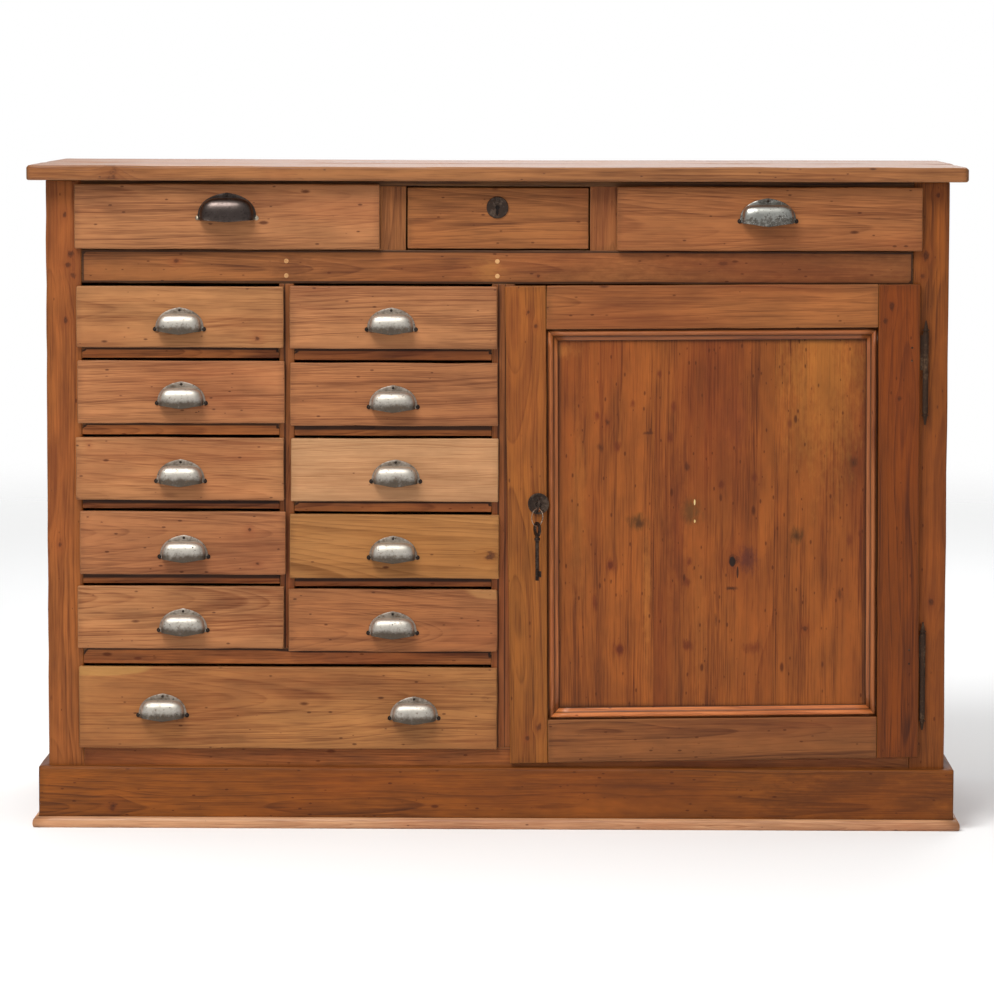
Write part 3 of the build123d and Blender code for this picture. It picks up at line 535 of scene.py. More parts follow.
def worn_metal(name, bright, dark, stain, pits=0.4, rough=(0.28, 0.55), cover=0.5, spots=None,
               metal=1.0, bump=0.35, scale=1.0, painted_low_shade=0.5, soft=0.0, amp=1.0):
    """Handled old metal: bright where hands rub it, tarnished in patches and
    darker towards the bottom by painted shade, pitted and spotted.  The edge
    attribute is the height up the piece (0 at the bottom, 0.02 high), so the
    painted shade follows the shape."""
    m, g, p = new_material(name)
    c = g.node("ShaderNodeTexCoord").outputs["Object"]
    n1 = g.noise(g.vm("MULTIPLY", c, (55.0 * scale,) * 3), detail=3.0, rough=0.6)
    n2 = g.noise(g.vm("MULTIPLY", c, (240.0 * scale,) * 3), detail=3.0, rough=0.65)
    n3 = g.noise(g.vm("MULTIPLY", c, (900.0 * scale,) * 3), detail=1.0)
    d, cc = g.voronoi(g.vm("MULTIPLY", c, (290.0 * scale,) * 3))
    cs = g.sep(cc)
    pit = g.mul(g.m("GREATER_THAN", pits, cs[0]), g.step(g.m("DIVIDE", d, g.mad(cs[1], 0.3, 0.12)), 1.0, 0.5))
    hi = g.attr("edge").outputs["Fac"]
    # painted shade and reflection: darker towards the bottom of the piece, by its height; the noise patches mixed in
    # with it are tarnish
    low_shade_mask = g.mul(g.step(hi, 0.015, 0.001), painted_low_shade)
    tarnish_and_shade = g.add(g.mul(g.sub(n1, 0.5), 1.6 * amp), g.mul(g.sub(n2, 0.5), 1.1 * amp))
    tarnish_and_shade = g.step(g.add(tarnish_and_shade, low_shade_mask), 0.62 - cover - soft, 1.10 - cover + soft)
    col = g.mix(tarnish_and_shade, bright, dark)
    col = g.mix(g.mul(g.step(n2, 0.56, 0.72), 0.7), col, stain)
    if spots is not None:
        col = g.mix(g.mul(g.step(n3, 0.60, 0.72), g.step(n1, 0.45, 0.65)), col, spots)
    col = g.mix(g.mul(pit, 0.85), col, (0.012, 0.010, 0.009, 1.0))
    g.put(p.inputs["Base Color"], col)
    ro = g.mad(tarnish_and_shade, rough[1] - rough[0], rough[0])
    ro = g.mad(g.sub(n2, 0.5), 0.22, ro)
    ro = g.m("MAXIMUM", g.m("MINIMUM", g.mad(pit, 0.3, ro), 0.95), 0.12)
    g.put(p.inputs["Roughness"], ro)
    me = g.m("MAXIMUM", g.mad(g.m("MAXIMUM", pit, g.mul(tarnish_and_shade, 0.35)), -0.75, metal), 0.0)
    g.put(p.inputs["Metallic"], me)
    h = g.mad(n2, 0.7, g.mul(n3, 0.25))
    h = g.mad(pit, -0.9, h)
    h = g.mad(n1, 1.2, h)
    bn = g.node("ShaderNodeBump")
    bn.inputs["Strength"].default_value = bump
    bn.inputs["Distance"].default_value = 0.0006
    g.put(bn.inputs["Height"], h)
    g.t.links.new(bn.outputs[0], p.inputs["Normal"])
    return m


# ---------------------------------------------------------------------------
# wood tones
# ---------------------------------------------------------------------------
HONEY, HONEY_D = srgb(194, 134, 86), srgb(126, 72, 38)
TAN, TAN_D = srgb(210, 156, 112), srgb(152, 98, 60)
AMBER, AMBER_D = srgb(190, 130, 76), srgb(128, 78, 36)
ROSE, ROSE_D = srgb(190, 126, 82), srgb(124, 70, 40)
RUSSET, RUSSET_D = srgb(164, 102, 60), srgb(100, 54, 28)
OCHRE, OCHRE_D = srgb(158, 98, 44), srgb(92, 52, 20)
WARM = srgb(150, 78, 42)
DEEP = srgb(112, 52, 26)
INNER, INNER_D = srgb(200, 158, 112), srgb(150, 104, 64)

BOX = (0, 0, 0)

# ---------------------------------------------------------------------------
# carcass
# ---------------------------------------------------------------------------
def round_front(q, p):
    """Rounds the two front corners of the top in plan, radius 9, and lets the
    worn top edge wander and dip a little in the middle."""
    hx, y0, R = 686.5, -30.0, 9.0
    s = np.sign(p[:, 0])
    ax = np.abs(q[:, 0]) - (hx - R)
    ay = (y0 + R) - q[:, 1]
    inside = (ax > 0) & (ay > 0)
    m = np.maximum(ax, ay)
    L = np.hypot(ax, ay)
    k = np.where(inside, m / np.maximum(L, 1e-9), 1.0)
    q[:, 0] = np.where(inside, s * (hx - R + ax * k), q[:, 0])
    q[:, 1] = np.where(inside, y0 + R - ay * k, q[:, 1])
    up = np.clip((p[:, 2] - 954.3) / 21.9, 0, 1)
    sag = -1.1 * np.exp(-(p[:, 0] / 330.0) ** 2)
    q[:, 2] += up * (sag + 0.45 * swell(p * (1, 0.3, 0), 901, 160.0) - 0.3)
    return q


top_near = (3.0, 5.0, 7.0, 9.0, 14.0, 24.0)
m_top = pine("top_wood", srgb(190, 132, 86), srgb(124, 74, 40), srgb(166, 100, 58), spacing=5.2,
             pith=(30, -46), tilt=0.02, ring=0.6, rough=0.42, gloss=0.36, mottle=0.45, wear=0.8,
             speck=0.4, pin=0.2, knots=((-560, -118, 9, "round"), (-318, -112, 7, "oval")), mul=(0.60, 0.53, 0.43))
m_top_b = pine("top_wood_back", srgb(190, 132, 86), srgb(128, 78, 42), srgb(166, 100, 58), spacing=4.6,
               pith=(-50, -60), tilt=0.03, ring=0.6, rough=0.42, gloss=0.36, mottle=0.45, wear=0.6,
               speck=0.4, pin=0.2, knots=((330, 40, 11, "oval"), (-180, -70, 8, "round")), mul=(0.60, 0.53, 0.43))
emit("top_front_plank",
     [board(-686.5, 686.5, -30, 221.85, 954.3, 976.2, "xyz", r=3.4, near=top_near, cell=26,
            post=round_front, wob=(0.2, 0.35, 0.0), seed=51, dents=1.3)],
     m_top, "carcass", ["top_boards"])
emit("top_back_plank",
     [board(-686.5, 686.5, 222.15, 480, 954.3, 976.2, "xyz", r=2.2, cell=34, near=(6, 14),
            wob=(0.3, 0.0, 0.15), seed=52,
            post=lambda q, p: q + np.stack([0 * p[:, 0], 0 * p[:, 0], -1.1 * np.exp(
                -(p[:, 0] / 330.0) ** 2) * np.clip((p[:, 2] - 954.3) / 21.9, 0, 1)], 1))],
     m_top_b, "carcass", ["top_boards"])

def shift_grain(q, along, across):
    """Slides the wood of one board, so its knots sit at their own heights."""
    q["grain"][:, 0] += along
    q["grain"][:, 1] += across


# sides: three upright boards each, side face outwards
m_side = pine("side_wood", srgb(162, 98, 52), srgb(104, 56, 26), WARM, spacing=4.4, pith=(20, -55),
              tilt=0.02, ring=0.75, mottle=0.4, speck=0.4, pin=0.16, holes=0.08,
              knots=((210, 12, 9, "oval"), (-190, -20, 7, "round")), mul=(0.72, 0.66, 0.55))
seams = (24.0, 176.0, 322.0, 470.0)
for nm, x0 in (("side_left", -661.0), ("side_right", 641.0)):
    parts = []
    for i in range(3):
        parts.append(board(x0, x0 + 20, seams[i] - (0.03 if i else 0), seams[i + 1] + (
            0.03 if i < 2 else 0), 0, 954.3, "zyx", r=1.1, cell=45,
            wob=(0.15, 0.0, 0.0), tint=(-0.05, 0.06, -0.02)[i]))
        shift_grain(parts[-1], (0.13, -0.21, 0.05)[i] * (1 if x0 < 0 else -1), (0.006, -0.012, 0.02)[i])
    emit(nm + "_boards", parts, m_side, "carcass", [nm])

# stiles, with their knots where the photograph shows them
m_stl = pine("stile_left_wood", srgb(162, 96, 50), srgb(106, 54, 24), WARM, spacing=4.0,
             pith=(-18, -48), tilt=0.012, ring=0.7, speck=0.3, pin=0.14,
             knots=((369, 10.7, 5.5, "round"), (352.5, 6.1, 6.0, "cross"), (338, 13.8, 5.0, "round"),
                    (426, 1.0, 3.2, "oval"), (271.3, 2.4, 3.8, "oval"), (-60, -8, 3.0, "oval")), mul=(0.75, 0.70, 0.50))
emit("front_stile_left_board", [board(-661, -609, 0, 24, 0, 954.3, "zxy", r=2.2, cell=34,
                                      wob=(0.5, 0.15, 0.0), dents=0.8)],
     m_stl, "carcass", ["front_stile_left"])
m_str = pine("stile_right_wood", srgb(152, 88, 42), srgb(94, 48, 20), WARM, spacing=3.8,
             pith=(22, -44), tilt=0.014, ring=0.75, speck=0.35, pin=0.18,
             knots=((457.5, 8.9, 3.8, "round"), (367.3, -6.9, 5.0, "oval"), (339.4, -13.0, 4.0, "round"),
                    (-140, 6, 4.2, "oval"), (-300, -9, 3.5, "round")), mul=(0.68, 0.59, 0.30))
emit("front_stile_right_board", [board(609, 661, 0, 24, 0, 954.3, "zxy", r=2.2, cell=34,
                                       wob=(0.4, 0.15, 0.0), dents=0.6)],
     m_str, "carcass", ["front_stile_right"])

# back: nine upright boards
m_back = pine("back_wood", srgb(178, 128, 80), srgb(126, 80, 46), srgb(150, 96, 56), spacing=4.2,
              pith=(24, -70), tilt=0.03, ring=0.6, mottle=0.5, rough=0.68, gloss=0.25, speck=0.35,
              pin=0.2, wear=0.3, knots=((180, 14, 8, "oval"), (-240, -18, 6, "round")))
bw = 2 * 641.0 / 9
bt = (0.04, -0.08, 0.02, -0.03, 0.07, -0.05, 0.03, -0.1, 0.0)
backs = [board(-641 + i * bw - (0.04 if i else 0), -641 + (i + 1) * bw + (
    0.04 if i < 8 else 0), 458, 470, 40, 954.3, "zxy", r=1.2, cell=55, wob=(0, 0.2, 0.6), tint=bt[i])
    for i in range(9)]
for i, q in enumerate(backs):
    shift_grain(q, (0.10, -0.26, 0.31, -0.07, 0.19, -0.33, 0.02, 0.27, -0.15)[i],
                (0.0, 0.022, -0.016, 0.03, -0.028, 0.008, -0.02, 0.014, -0.008)[i])
emit("back_board_set", backs, m_back, "carcass", ["back_boards"])

# rails of the face
# painted shade: a dark band along the frieze boards' edges, under the proud drawer fronts
m_frieze = pine("frieze_wood", srgb(164, 106, 64), srgb(102, 58, 32), WARM, spacing=3.6, pith=(-6, -42),
                tilt=0.016, ring=0.8, speck=0.55, pin=0.25, holes=0.10, painted_edge_shade=(0.0044, 0.0028, 0.78),
                knots=((61, -13, 2.6, "round"), (-470, 8, 3.2, "oval"), (330, 6, 3.0, "long")),
                stains=((-12, -4, 26, 20, srgb(196, 138, 78), 0.35),
                        (-300, -2, 30, 24, srgb(96, 52, 28), 0.45),
                        (420, 0, 330, 40, srgb(116, 62, 32), 0.5)), mul=(0.69, 0.63, 0.49))
m_peg = pine("peg_wood", srgb(226, 176, 124), srgb(190, 134, 84), srgb(206, 150, 96), spacing=1.4,
             pith=(0, -9), ring=0.5, blotch=0.2, speck=0.0, pin=0.0, holes=0.0, grime=0.3)
parts = [pocket(board(-609, 609, 0, 60, 946.5, 954.3, "xzy", r=0.8, cell=60, wob=(0, 0.1, 0)),
                (-8.3, 9.7, 13.5, 22.5, 944.0, 952.0)),
         board(-609, 609, 0, 24, 803.5, 852.5, "xzy", r=1.4, cell=34, wob=(0, 0.12, 0.3), dents=0.5)]


def disc(x, z, r, y0, y1, seed=1, n=20, dome=0.0, mat=0, tint=0.0):
    """A round peg or head facing the front, its face at y0, a little domed."""
    rows = []
    prof = [(1.0, y1), (1.0, y0 + 0.25 * r * 0.3), (0.95, y0 + 0.02), (0.7, y0 - dome * 0.6),
            (0.35, y0 - dome * 0.92), (0.03, y0 - dome)]
    for s, y in prof:
        rows.append([(x + r * s * math.cos(t), y, z + r * s * math.sin(t))
                     for t in np.linspace(0, 2 * math.pi, n, endpoint=False)])
    return strip(rows, closed=True, grain="yxz", seed=seed, mat=mat, tint=tint,
                 center=(x, y0, z), edge=np.full(len(rows) * n, 12.0))


for i, (px, pz) in enumerate(((-308.5, 836.5), (-308.5, 815.0), (0.7, 836.5), (0.7, 815.0))):
    parts.append(disc(px, pz, 3.4, -0.5, 6.0, seed=60 + i, mat=1, tint=(0.05, -0.05, 0.0, 0.04)[i]))
emit("face_rail_boards", parts, [m_frieze, m_peg], "carcass", ["face_rails"])

m_frame = pine("frame_wood", srgb(158, 100, 56), srgb(98, 54, 28), WARM, spacing=3.6, pith=(10, -40),
               tilt=0.02, ring=0.75, speck=0.5, pin=0.2)
parts = []
for a, b in ((-180.0, -133.0), (136.0, 184.0)):
    parts.append(board(a, b, 0, 24, 852.5, 946.5, "zxy", r=1.2, wob=(0.3, 0.12, 0)))
    c = (a + b) / 2
    parts.append(board(c - 6, c + 6, 24, 454, 852.9, 946.3, "yzx", r=0.8, cell=60, wob=(0, 0, 0)))
emit("frieze_divider_boards", parts, m_frame, "carcass", ["frieze_dividers"])

left_fronts = {1: (-616.1, -312.1, 709.5, 799.2), 2: (-614.9, -310.5, 598.0, 690.2),
               3: (-618.0, -311.6, 484.7, 577.3), 4: (-612.4, -309.1, 375.1, 468.1),
               5: (-616.1, -312.1, 265.3, 357.5)}
right_fronts = {1: (-303.6, 1.3, 708.1, 800.4), 2: (-302.9, 2.2, 595.2, 687.8),
                3: (-302.1, 2.9, 483.8, 576.5), 4: (-303.6, 4.4, 370.1, 464.5),
                5: (-305.8, 2.2, 261.8, 353.8)}
rails_l = {k: (left_fronts[k + 1][3] + 3.4, left_fronts[k][2] + 1.2) for k in (1, 2, 3, 4)}
rails_r = {k: (right_fronts[k + 1][3] + 3.4, right_fronts[k][2] + 1.2) for k in (1, 2, 3, 4)}
low_rail_z0 = 238.1 + 3.4
low_l, low_r = left_fronts[5][2] + 1.2, right_fronts[5][2] + 1.2
low_mid = 0.5 * (low_l + low_r)
# painted shade: a dark band along each rail's upper edge, under the drawer front above
m_rail = pine("rail_wood", srgb(152, 92, 50), srgb(88, 44, 20), DEEP, spacing=3.4, pith=(4, -36),
              tilt=0.03, ring=0.85, blotch=0.9, mottle=0.5, speck=0.5, pin=0.3, grime=0.45, mul=(1.15, 1.10, 0.94), painted_edge_shade=(0.0058, 0.0042, 0.86))
parts = []
for k in (1, 2, 3, 4):
    parts.append(board(-609, -319, 0.8, 24, *rails_l[k], "xzy", r=1.0, wob=(0, 0.1, 0.2),
                       tint=(0.0, 0.06, -0.05, 0.03)[k - 1]))
    parts.append(board(-297, -7, 0.8, 24, *rails_r[k], "xzy", r=1.0, wob=(0, 0.1, 0.2),
                       tint=(-0.04, 0.03, 0.0, 0.05)[k - 1]))


def low_rail(q, p):
    """The long rail steps down at the divider."""
    top = np.clip((p[:, 2] - low_rail_z0) / (low_l - low_rail_z0), 0, 1)
    t = np.clip((p[:, 0] + 319) / 22.0, 0, 1)
    q[:, 2] += top * (low_r - low_l) * t
    return q


parts.append(board(-609, -7, 0.8, 24, low_rail_z0, low_l, "xzy", r=1.0, wob=(0, 0.1, 0.2), cell=24,
                   post=low_rail))
for q in parts:
    # the shade sits under the drawer above, along the rail's upper edge only
    zc = (q["v"][:, 2].min() + q["v"][:, 2].max()) / 2
    q["edge"] = np.where(q["v"][:, 2] < zc, np.maximum(q["edge"], 0.009), q["edge"])
emit("drawer_rail_boards", parts, m_rail, "carcass", ["drawer_rails"])

# the dark mark on the divider is a painted shadow beside the left drawer fronts
m_div = pine("divider_wood", srgb(154, 94, 52), srgb(92, 48, 24), WARM, spacing=3.4, pith=(6, -30),
             tilt=0.01, ring=0.8, blotch=0.8, speck=0.4, pin=0.2, grime=0.6, mul=(0.80, 0.74, 0.62),
             streaks_and_painted_shade=((0, -2.9, 400, 1.5, srgb(44, 20, 10), 0.85),))
# the two dark marks on the centre stile are painted shadow beside the right drawer fronts and beside the door
m_div2 = pine("centre_stile_wood", srgb(154, 94, 52), srgb(92, 48, 24), WARM, spacing=3.4, pith=(6, -30),
              tilt=0.01, ring=0.8, blotch=0.8, speck=0.4, pin=0.2, grime=0.6, mul=(0.80, 0.74, 0.62),
              streaks_and_painted_shade=((0, -7.2, 500, 1.5, srgb(44, 20, 10), 0.85), (0, 2.6, 500, 1.0, srgb(44, 20, 10), 0.8)))
emit("column_divider_board", [board(-319, -297, 0.4, 24, low_mid, 803.5, "zxy", r=1.4,
                                    wob=(0.2, 0.1, 0), cell=30, dents=0.6)],
     m_div, "carcass", ["column_divider"])
emit("centre_stile_board", [pocket(board(-7, 27, 0, 24, 118.3, 803.5, "zxy", r=1.6, wob=(0.1, 0.1, 0),
                                         cell=34, dents=0.6), (16.0, 29.0, 13.4, 21.6, 489.1, 502.1))],
     m_div2, "carcass", ["centre_stile"])
m_brail = pine("bottom_rail_wood", srgb(150, 88, 46), srgb(90, 46, 22), DEEP, spacing=3.8,
               pith=(-10, -46), tilt=0.014, ring=0.75, blotch=0.8, mottle=0.45, speck=0.45, pin=0.2, mul=(0.95, 0.92, 0.74))
emit("bottom_rail_board", [board(-609, 609, 0, 24, 60, 118.3, "xzy", r=1.2, wob=(0, 0.1, 0.0))],
     m_brail, "carcass", ["bottom_rail"])

m_inner = pine("inside_wood", INNER, INNER_D, srgb(176, 124, 78), spacing=4.8, pith=(20, -60),
               tilt=0.03, ring=0.55, blotch=0.45, rough=0.66, gloss=0.25, speck=0.25, pin=0.12,
               holes=0.04, wear=0.3, grime=0.4, mul=(0.82, 0.78, 0.70))
emit("partition_boards", [
    board(-316, -300, 24, 458, low_mid, 840.5, "yzx", r=0.8, cell=60, wob=(0, 0, 0)),
    board(-7, 13, 24, 458, 118.3, 840.5, "yzx", r=0.8, cell=60, wob=(0, 0, 0), tint=0.04)],
    m_inner, "carcass", ["partitions"])
emit("floor_boards", [board(-641, 641, 24, 239.85, 101.3, 118.3, "xyz", r=0.8, cell=60, wob=(0, 0, 0)),
                      board(-641, 641, 240.15, 458, 101.3, 118.3, "xyz", r=0.8, cell=60,
                            wob=(0, 0, 0), tint=-0.06)],
     m_inner, "carcass", ["floor_board"])
emit("dust_boards", [board(-641, 641, 24, 239.85, 840.5, 852.5, "xyz", r=0.8, cell=60, wob=(0, 0, 0)),
                     board(-641, 641, 240.15, 458, 840.5, 852.5, "xyz", r=0.8, cell=60,
                           wob=(0, 0, 0), tint=0.05)],
     m_inner, "carcass", ["dust_board"])
emit("shelf_boards", [board(14, 640, 60, 458, 462, 480, "xyz", r=1.6, cell=45, wob=(0, 0.3, 0)),
                      board(13, 35, 60, 458, 438, 462, "yzx", r=1.0, cell=60, wob=(0, 0, 0)),
                      board(619, 641, 60, 458, 438, 462, "yzx", r=1.0, cell=60, wob=(0, 0, 0))],
     m_inner, "carcass", ["cupboard_shelf"])
parts = []
RY = (24.0, 452.0)
for z in [rails_l[k][1] for k in (1, 2, 3, 4)] + [low_l]:
    parts += [board(-641, -597, *RY, z - 14, z, "yxz", r=0.7, cell=80, wob=BOX),
              board(-641, -609.5, *RY, z + 0.1, z + 22, "yxz", r=0.7, cell=80, wob=BOX),
              board(-329, -316, *RY, z - 14, z, "yxz", r=0.7, cell=80, wob=BOX)]
for z in [rails_r[k][1] for k in (1, 2, 3, 4)] + [low_r]:
    parts += [board(-300, -287, *RY, z - 14, z, "yxz", r=0.7, cell=80, wob=BOX),
              board(-20, -7, *RY, z - 14, z, "yxz", r=0.7, cell=80, wob=BOX)]
parts += [board(-641, -609.5, *RY, 118.3, 140.3, "yxz", r=0.7, cell=80, wob=BOX),
          board(-641, -609.5, *RY, 852.5, 874.5, "yxz", r=0.7, cell=80, wob=BOX),
          board(609.5, 641, *RY, 852.5, 874.5, "yxz", r=0.7, cell=80, wob=BOX)]
emit("runner_boards", parts, m_inner, "carcass", ["drawer_runners"])


# plinth: mitred front corners, chamfered top arris
def mitre_front(q, p):
    w = np.clip((np.abs(p[:, 0]) - 640) / 34.5, 0, 1)
    q[:, 0] -= np.sign(p[:, 0]) * 13.5 * w * np.clip((p[:, 1] + 15) / 15.0, 0, 1)
    top = np.clip((p[:, 2] - 86.0) / 4.0, 0, 1) * np.clip((-p[:, 1] - 9.0) / 6.0, 0, 1)
    q[:, 1] += top * 1.6
    q[:, 2] -= top * 1.2
    return q


def mitre_side(sign):
    def post(q, p):
        w = np.clip((40 - p[:, 1]) / 54.9, 0, 1)
        q[:, 1] += w * 15.0 * np.clip((674.5 - np.abs(p[:, 0])) / 13.5, 0, 1)
        return q
    return post


m_plinth = pine("plinth_wood", srgb(158, 96, 44), srgb(92, 50, 20), srgb(130, 68, 30), spacing=3.4,
                pith=(-14, -40), tilt=0.01, ring=0.7, blotch=0.7, mottle=0.5, speck=0.75, pin=0.2,
                holes=0.10, grime=0.7, knots=((-565.5, -14.5, 7.0, "round"),),
                stains=((560, 0, 150, 70, srgb(112, 60, 26), 0.5), (250, 10, 200, 60, srgb(120, 70, 30), 0.3)), mul=(0.66, 0.54, 0.25))
emit("plinth_front", [board(-674.5, 674.5, -15, 0, 0, 90, "xzy", r=2.4, wob=(0, 0.12, 0.25),
                            post=mitre_front, dents=0.8, near=(4, 8, 18))],
     m_plinth, "carcass", ["plinth_boards"])
emit("plinth_sides", [board(661, 674.5, -14.9, 470, 0, 90, "yzx", r=1.6, wob=(0.1, 0, 0.2),
                            post=mitre_side(1)),
                      board(-674.5, -661, -14.9, 470, 0, 90, "yzx", r=1.6, wob=(0.1, 0, 0.2),
                            post=mitre_side(-1), tint=-0.04)],
     m_plinth, "carcass", ["plinth_boards"])

bead = [(0.3, 0.0), (6.0, 0.0), (7.6, 0.7), (8.6, 2.9), (9.0, 6.2), (8.7, 9.4), (7.8, 12.0), (6.2, 14.1),
        (4.2, 15.4), (2.6, 15.9), (0.3, 15.9)]


def bead_run(rows):
    e = [[min(7.0, 15.9 - z) for d, z in bead] for _ in rows]
    return np.array(e)


m_bead = pine("bead_wood", srgb(214, 158, 114), srgb(156, 98, 60), WARM, spacing=3.0, pith=(0, -24),
              tilt=0.01, ring=0.55, speck=0.3, pin=0.1, rough=0.44, gloss=0.5, mul=(0.88, 0.89, 0.90))
rows = []
for t in np.linspace(-1, 1, 46):
    rows.append([(t * (674.5 + d), -15.0 - d, z) for d, z in bead])
rows = np.array(rows)
rows[..., 1] += 0.18 * swell(rows.reshape(-1, 3), 5, 200).reshape(rows.shape[:2])
parts = [strip(rows, closed=True, grain="xzy", seed=71, edge=bead_run(rows), flip=True)]
for s in (-1, 1):
    rows = []
    for t in np.linspace(0, 1, 16):
        rows.append([(s * (674.5 + d), -14.9 - d + t * (470 + 14.9 + d), z) for d, z in bead])
    parts.append(strip(rows, closed=True, grain="yzx", seed=72 + s, edge=bead_run(rows), flip=s < 0))
emit("plinth_bead_strips", parts, m_bead, "carcass", ["plinth_bead"])

# ---------------------------------------------------------------------------
# drawers
# ---------------------------------------------------------------------------
m_box = pine("drawer_box_wood", srgb(206, 162, 112), srgb(156, 108, 66), srgb(182, 128, 80),
             spacing=4.4, pith=(16, -50), tilt=0.03, ring=0.55, blotch=0.4, rough=0.64, gloss=0.25,
             speck=0.2, pin=0.1, holes=0.03, wear=0.3, grime=0.4, mul=(0.82, 0.78, 0.70))


def drawer_parts(front, opening, inset=False, tint=0.0, seed=1):
    x0, x1, z0, z1 = front
    ox0, ox1, oz0, oz1 = opening
    if inset:
        face = [pocket(board(x0, x1, 0, 22, z0, z1, "xzy", r=2.0, wob=(0.0, 0.15, 0.0), cell=30,
                             seed=seed, dents=0.6), (-7.3, 8.7, 13.6, 24.0, 925.0, 950.0))]
        back = 22.0
    else:
        face = [board(x0, x1, -10.5, -0.5, z0, z1, "xzy", r=2.3, wob=(0.35, 0.12, 0.45), cell=26,
                      seed=seed, tint=tint, dents=1.1, wave=150),
                board(ox0 + 2, ox1 - 2, -0.6, 11.5, oz0 + 0.8, min(oz1 - 2.2, z1 - 1.5), "xzy",
                      r=0.8, wob=BOX, cell=60, tint=-0.06, seed=seed)]
        back = 11.5
    bx0, bx1 = ox0 + 2.5, ox1 - 2.5
    s0, s1 = oz0 + 0.3, oz1 - 7.0
    box = [board(bx0, bx0 + 10, back, 430, s0, s1, "yzx", r=1.2, wob=BOX, cell=55),
           board(bx1 - 10, bx1, back, 430, s0, s1, "yzx", r=1.2, wob=BOX, cell=55, tint=0.03),
           board(bx0 + 10, bx1 - 10, 420, 430, s0 + 12.2, s1 - 4, "xzy", r=1.0, wob=BOX, cell=55),
           board(bx0 + 10, bx1 - 10, back, 430, s0 + 6, s0 + 12, "xyz", r=0.6, wob=BOX, cell=60,
                 tint=-0.04)]
    return face, box


def drawer(name, front, opening, mat, inset=False, tint=0.0, seed=1):
    face, box = drawer_parts(front, opening, inset, tint, seed)
    emit(name + "_front", face, mat, name, [name])
    emit(name + "_box", box, m_box, name, [name])


def face_pine(name, tone, front, **k):
    """Wood of one drawer front; its knots are given as x, z on the cabinet."""
    light, dark, warm = tone
    cx, cz = (front[0] + front[1]) / 2, (front[2] + front[3]) / 2
    for key in ("knots", "stains", "streaks_and_painted_shade"):
        if key in k:
            k[key] = [(q[0] - cx, q[1] - cz) + tuple(q[2:]) for q in k[key]]
    return pine(name + "_wood", light, dark, warm, **k)


tone_honey = (HONEY, HONEY_D, WARM)
tone_tan = (TAN, TAN_D, srgb(196, 128, 84))
tone_amber = (AMBER, AMBER_D, srgb(170, 104, 44))
tone_rose = (ROSE, ROSE_D, srgb(166, 92, 56))

faces = {
    "drawer_left_1": (left_fronts[1], tone_honey, dict(
        mul=(0.70, 0.69, 0.64), spacing=6.0, pith=(10, -34), tilt=0.05, ring=0.55, speck=0.35, pin=0.14,
        knots=[(-350.7, 723.6, 3.6, "round")])),
    "drawer_left_2": (left_fronts[2], tone_rose, dict(
        mul=(0.73, 0.73, 0.68), spacing=3.4, pith=(60, -50), tilt=0.04, ring=0.8, speck=0.4, pin=0.12,
        knots=[(-601.0, 582.0, 1.6, "oval")])),
    "drawer_left_3": (left_fronts[3], tone_honey, dict(
        mul=(0.72, 0.70, 0.68), spacing=5.0, pith=(-36, -40), tilt=0.05, ring=0.65, speck=0.4, pin=0.12,
        knots=[(-598.0, 566.0, 2.2, "round")])),
    "drawer_left_4": (left_fronts[4], tone_rose, dict(
        mul=(0.66, 0.63, 0.58), spacing=5.5, pith=(14, -30), tilt=0.06, ring=0.6, speck=0.4, pin=0.12,
        knots=[(-362.4, 442.7, 3.0, "round"), (-350.7, 391.3, 2.6, "oval")])),
    "drawer_left_5": (left_fronts[5], tone_honey, dict(
        mul=(0.73, 0.71, 0.68), spacing=4.2, pith=(26, -44), tilt=0.05, ring=0.65, speck=0.45, pin=0.16)),
    "drawer_right_1": (right_fronts[1], tone_rose, dict(
        mul=(0.71, 0.73, 0.69), spacing=3.2, pith=(90, -60), tilt=0.03, ring=0.8, speck=0.35, pin=0.10)),
    "drawer_right_2": (right_fronts[2], tone_rose, dict(
        mul=(0.66, 0.63, 0.57), spacing=3.4, pith=(80, -60), tilt=0.02, ring=0.8, speck=0.4, pin=0.12)),
    "drawer_right_3": (right_fronts[3], tone_tan, dict(
        mul=(0.68, 0.70, 0.67), spacing=3.0, pith=(70, -56), tilt=0.02, ring=0.55, fibre=0.6, blotch=0.4, mottle=0.25,
        speck=0.12, pin=0.05, grime=0.35, gain=1.02)),
    "drawer_right_4": (right_fronts[4], tone_amber, dict(
        mul=(0.70, 0.70, 0.63), spacing=8.5, pith=(-52, -30), tilt=0.07, ring=0.75, fibre=0.6, blotch=0.4, mottle=0.25,
        speck=0.15, pin=0.05, knots=[(-8.1, 402.9, 6.0, "oval")])),
    "drawer_right_5": (right_fronts[5], tone_rose, dict(
        mul=(0.58, 0.53, 0.44), spacing=4.6, pith=(-20, -36), tilt=0.08, ring=0.7, speck=0.35, pin=0.12,
        streaks_and_painted_shade=[(10.0, 356.0, 62.0, 17.0, srgb(206, 150, 98), 0.8)])),
}
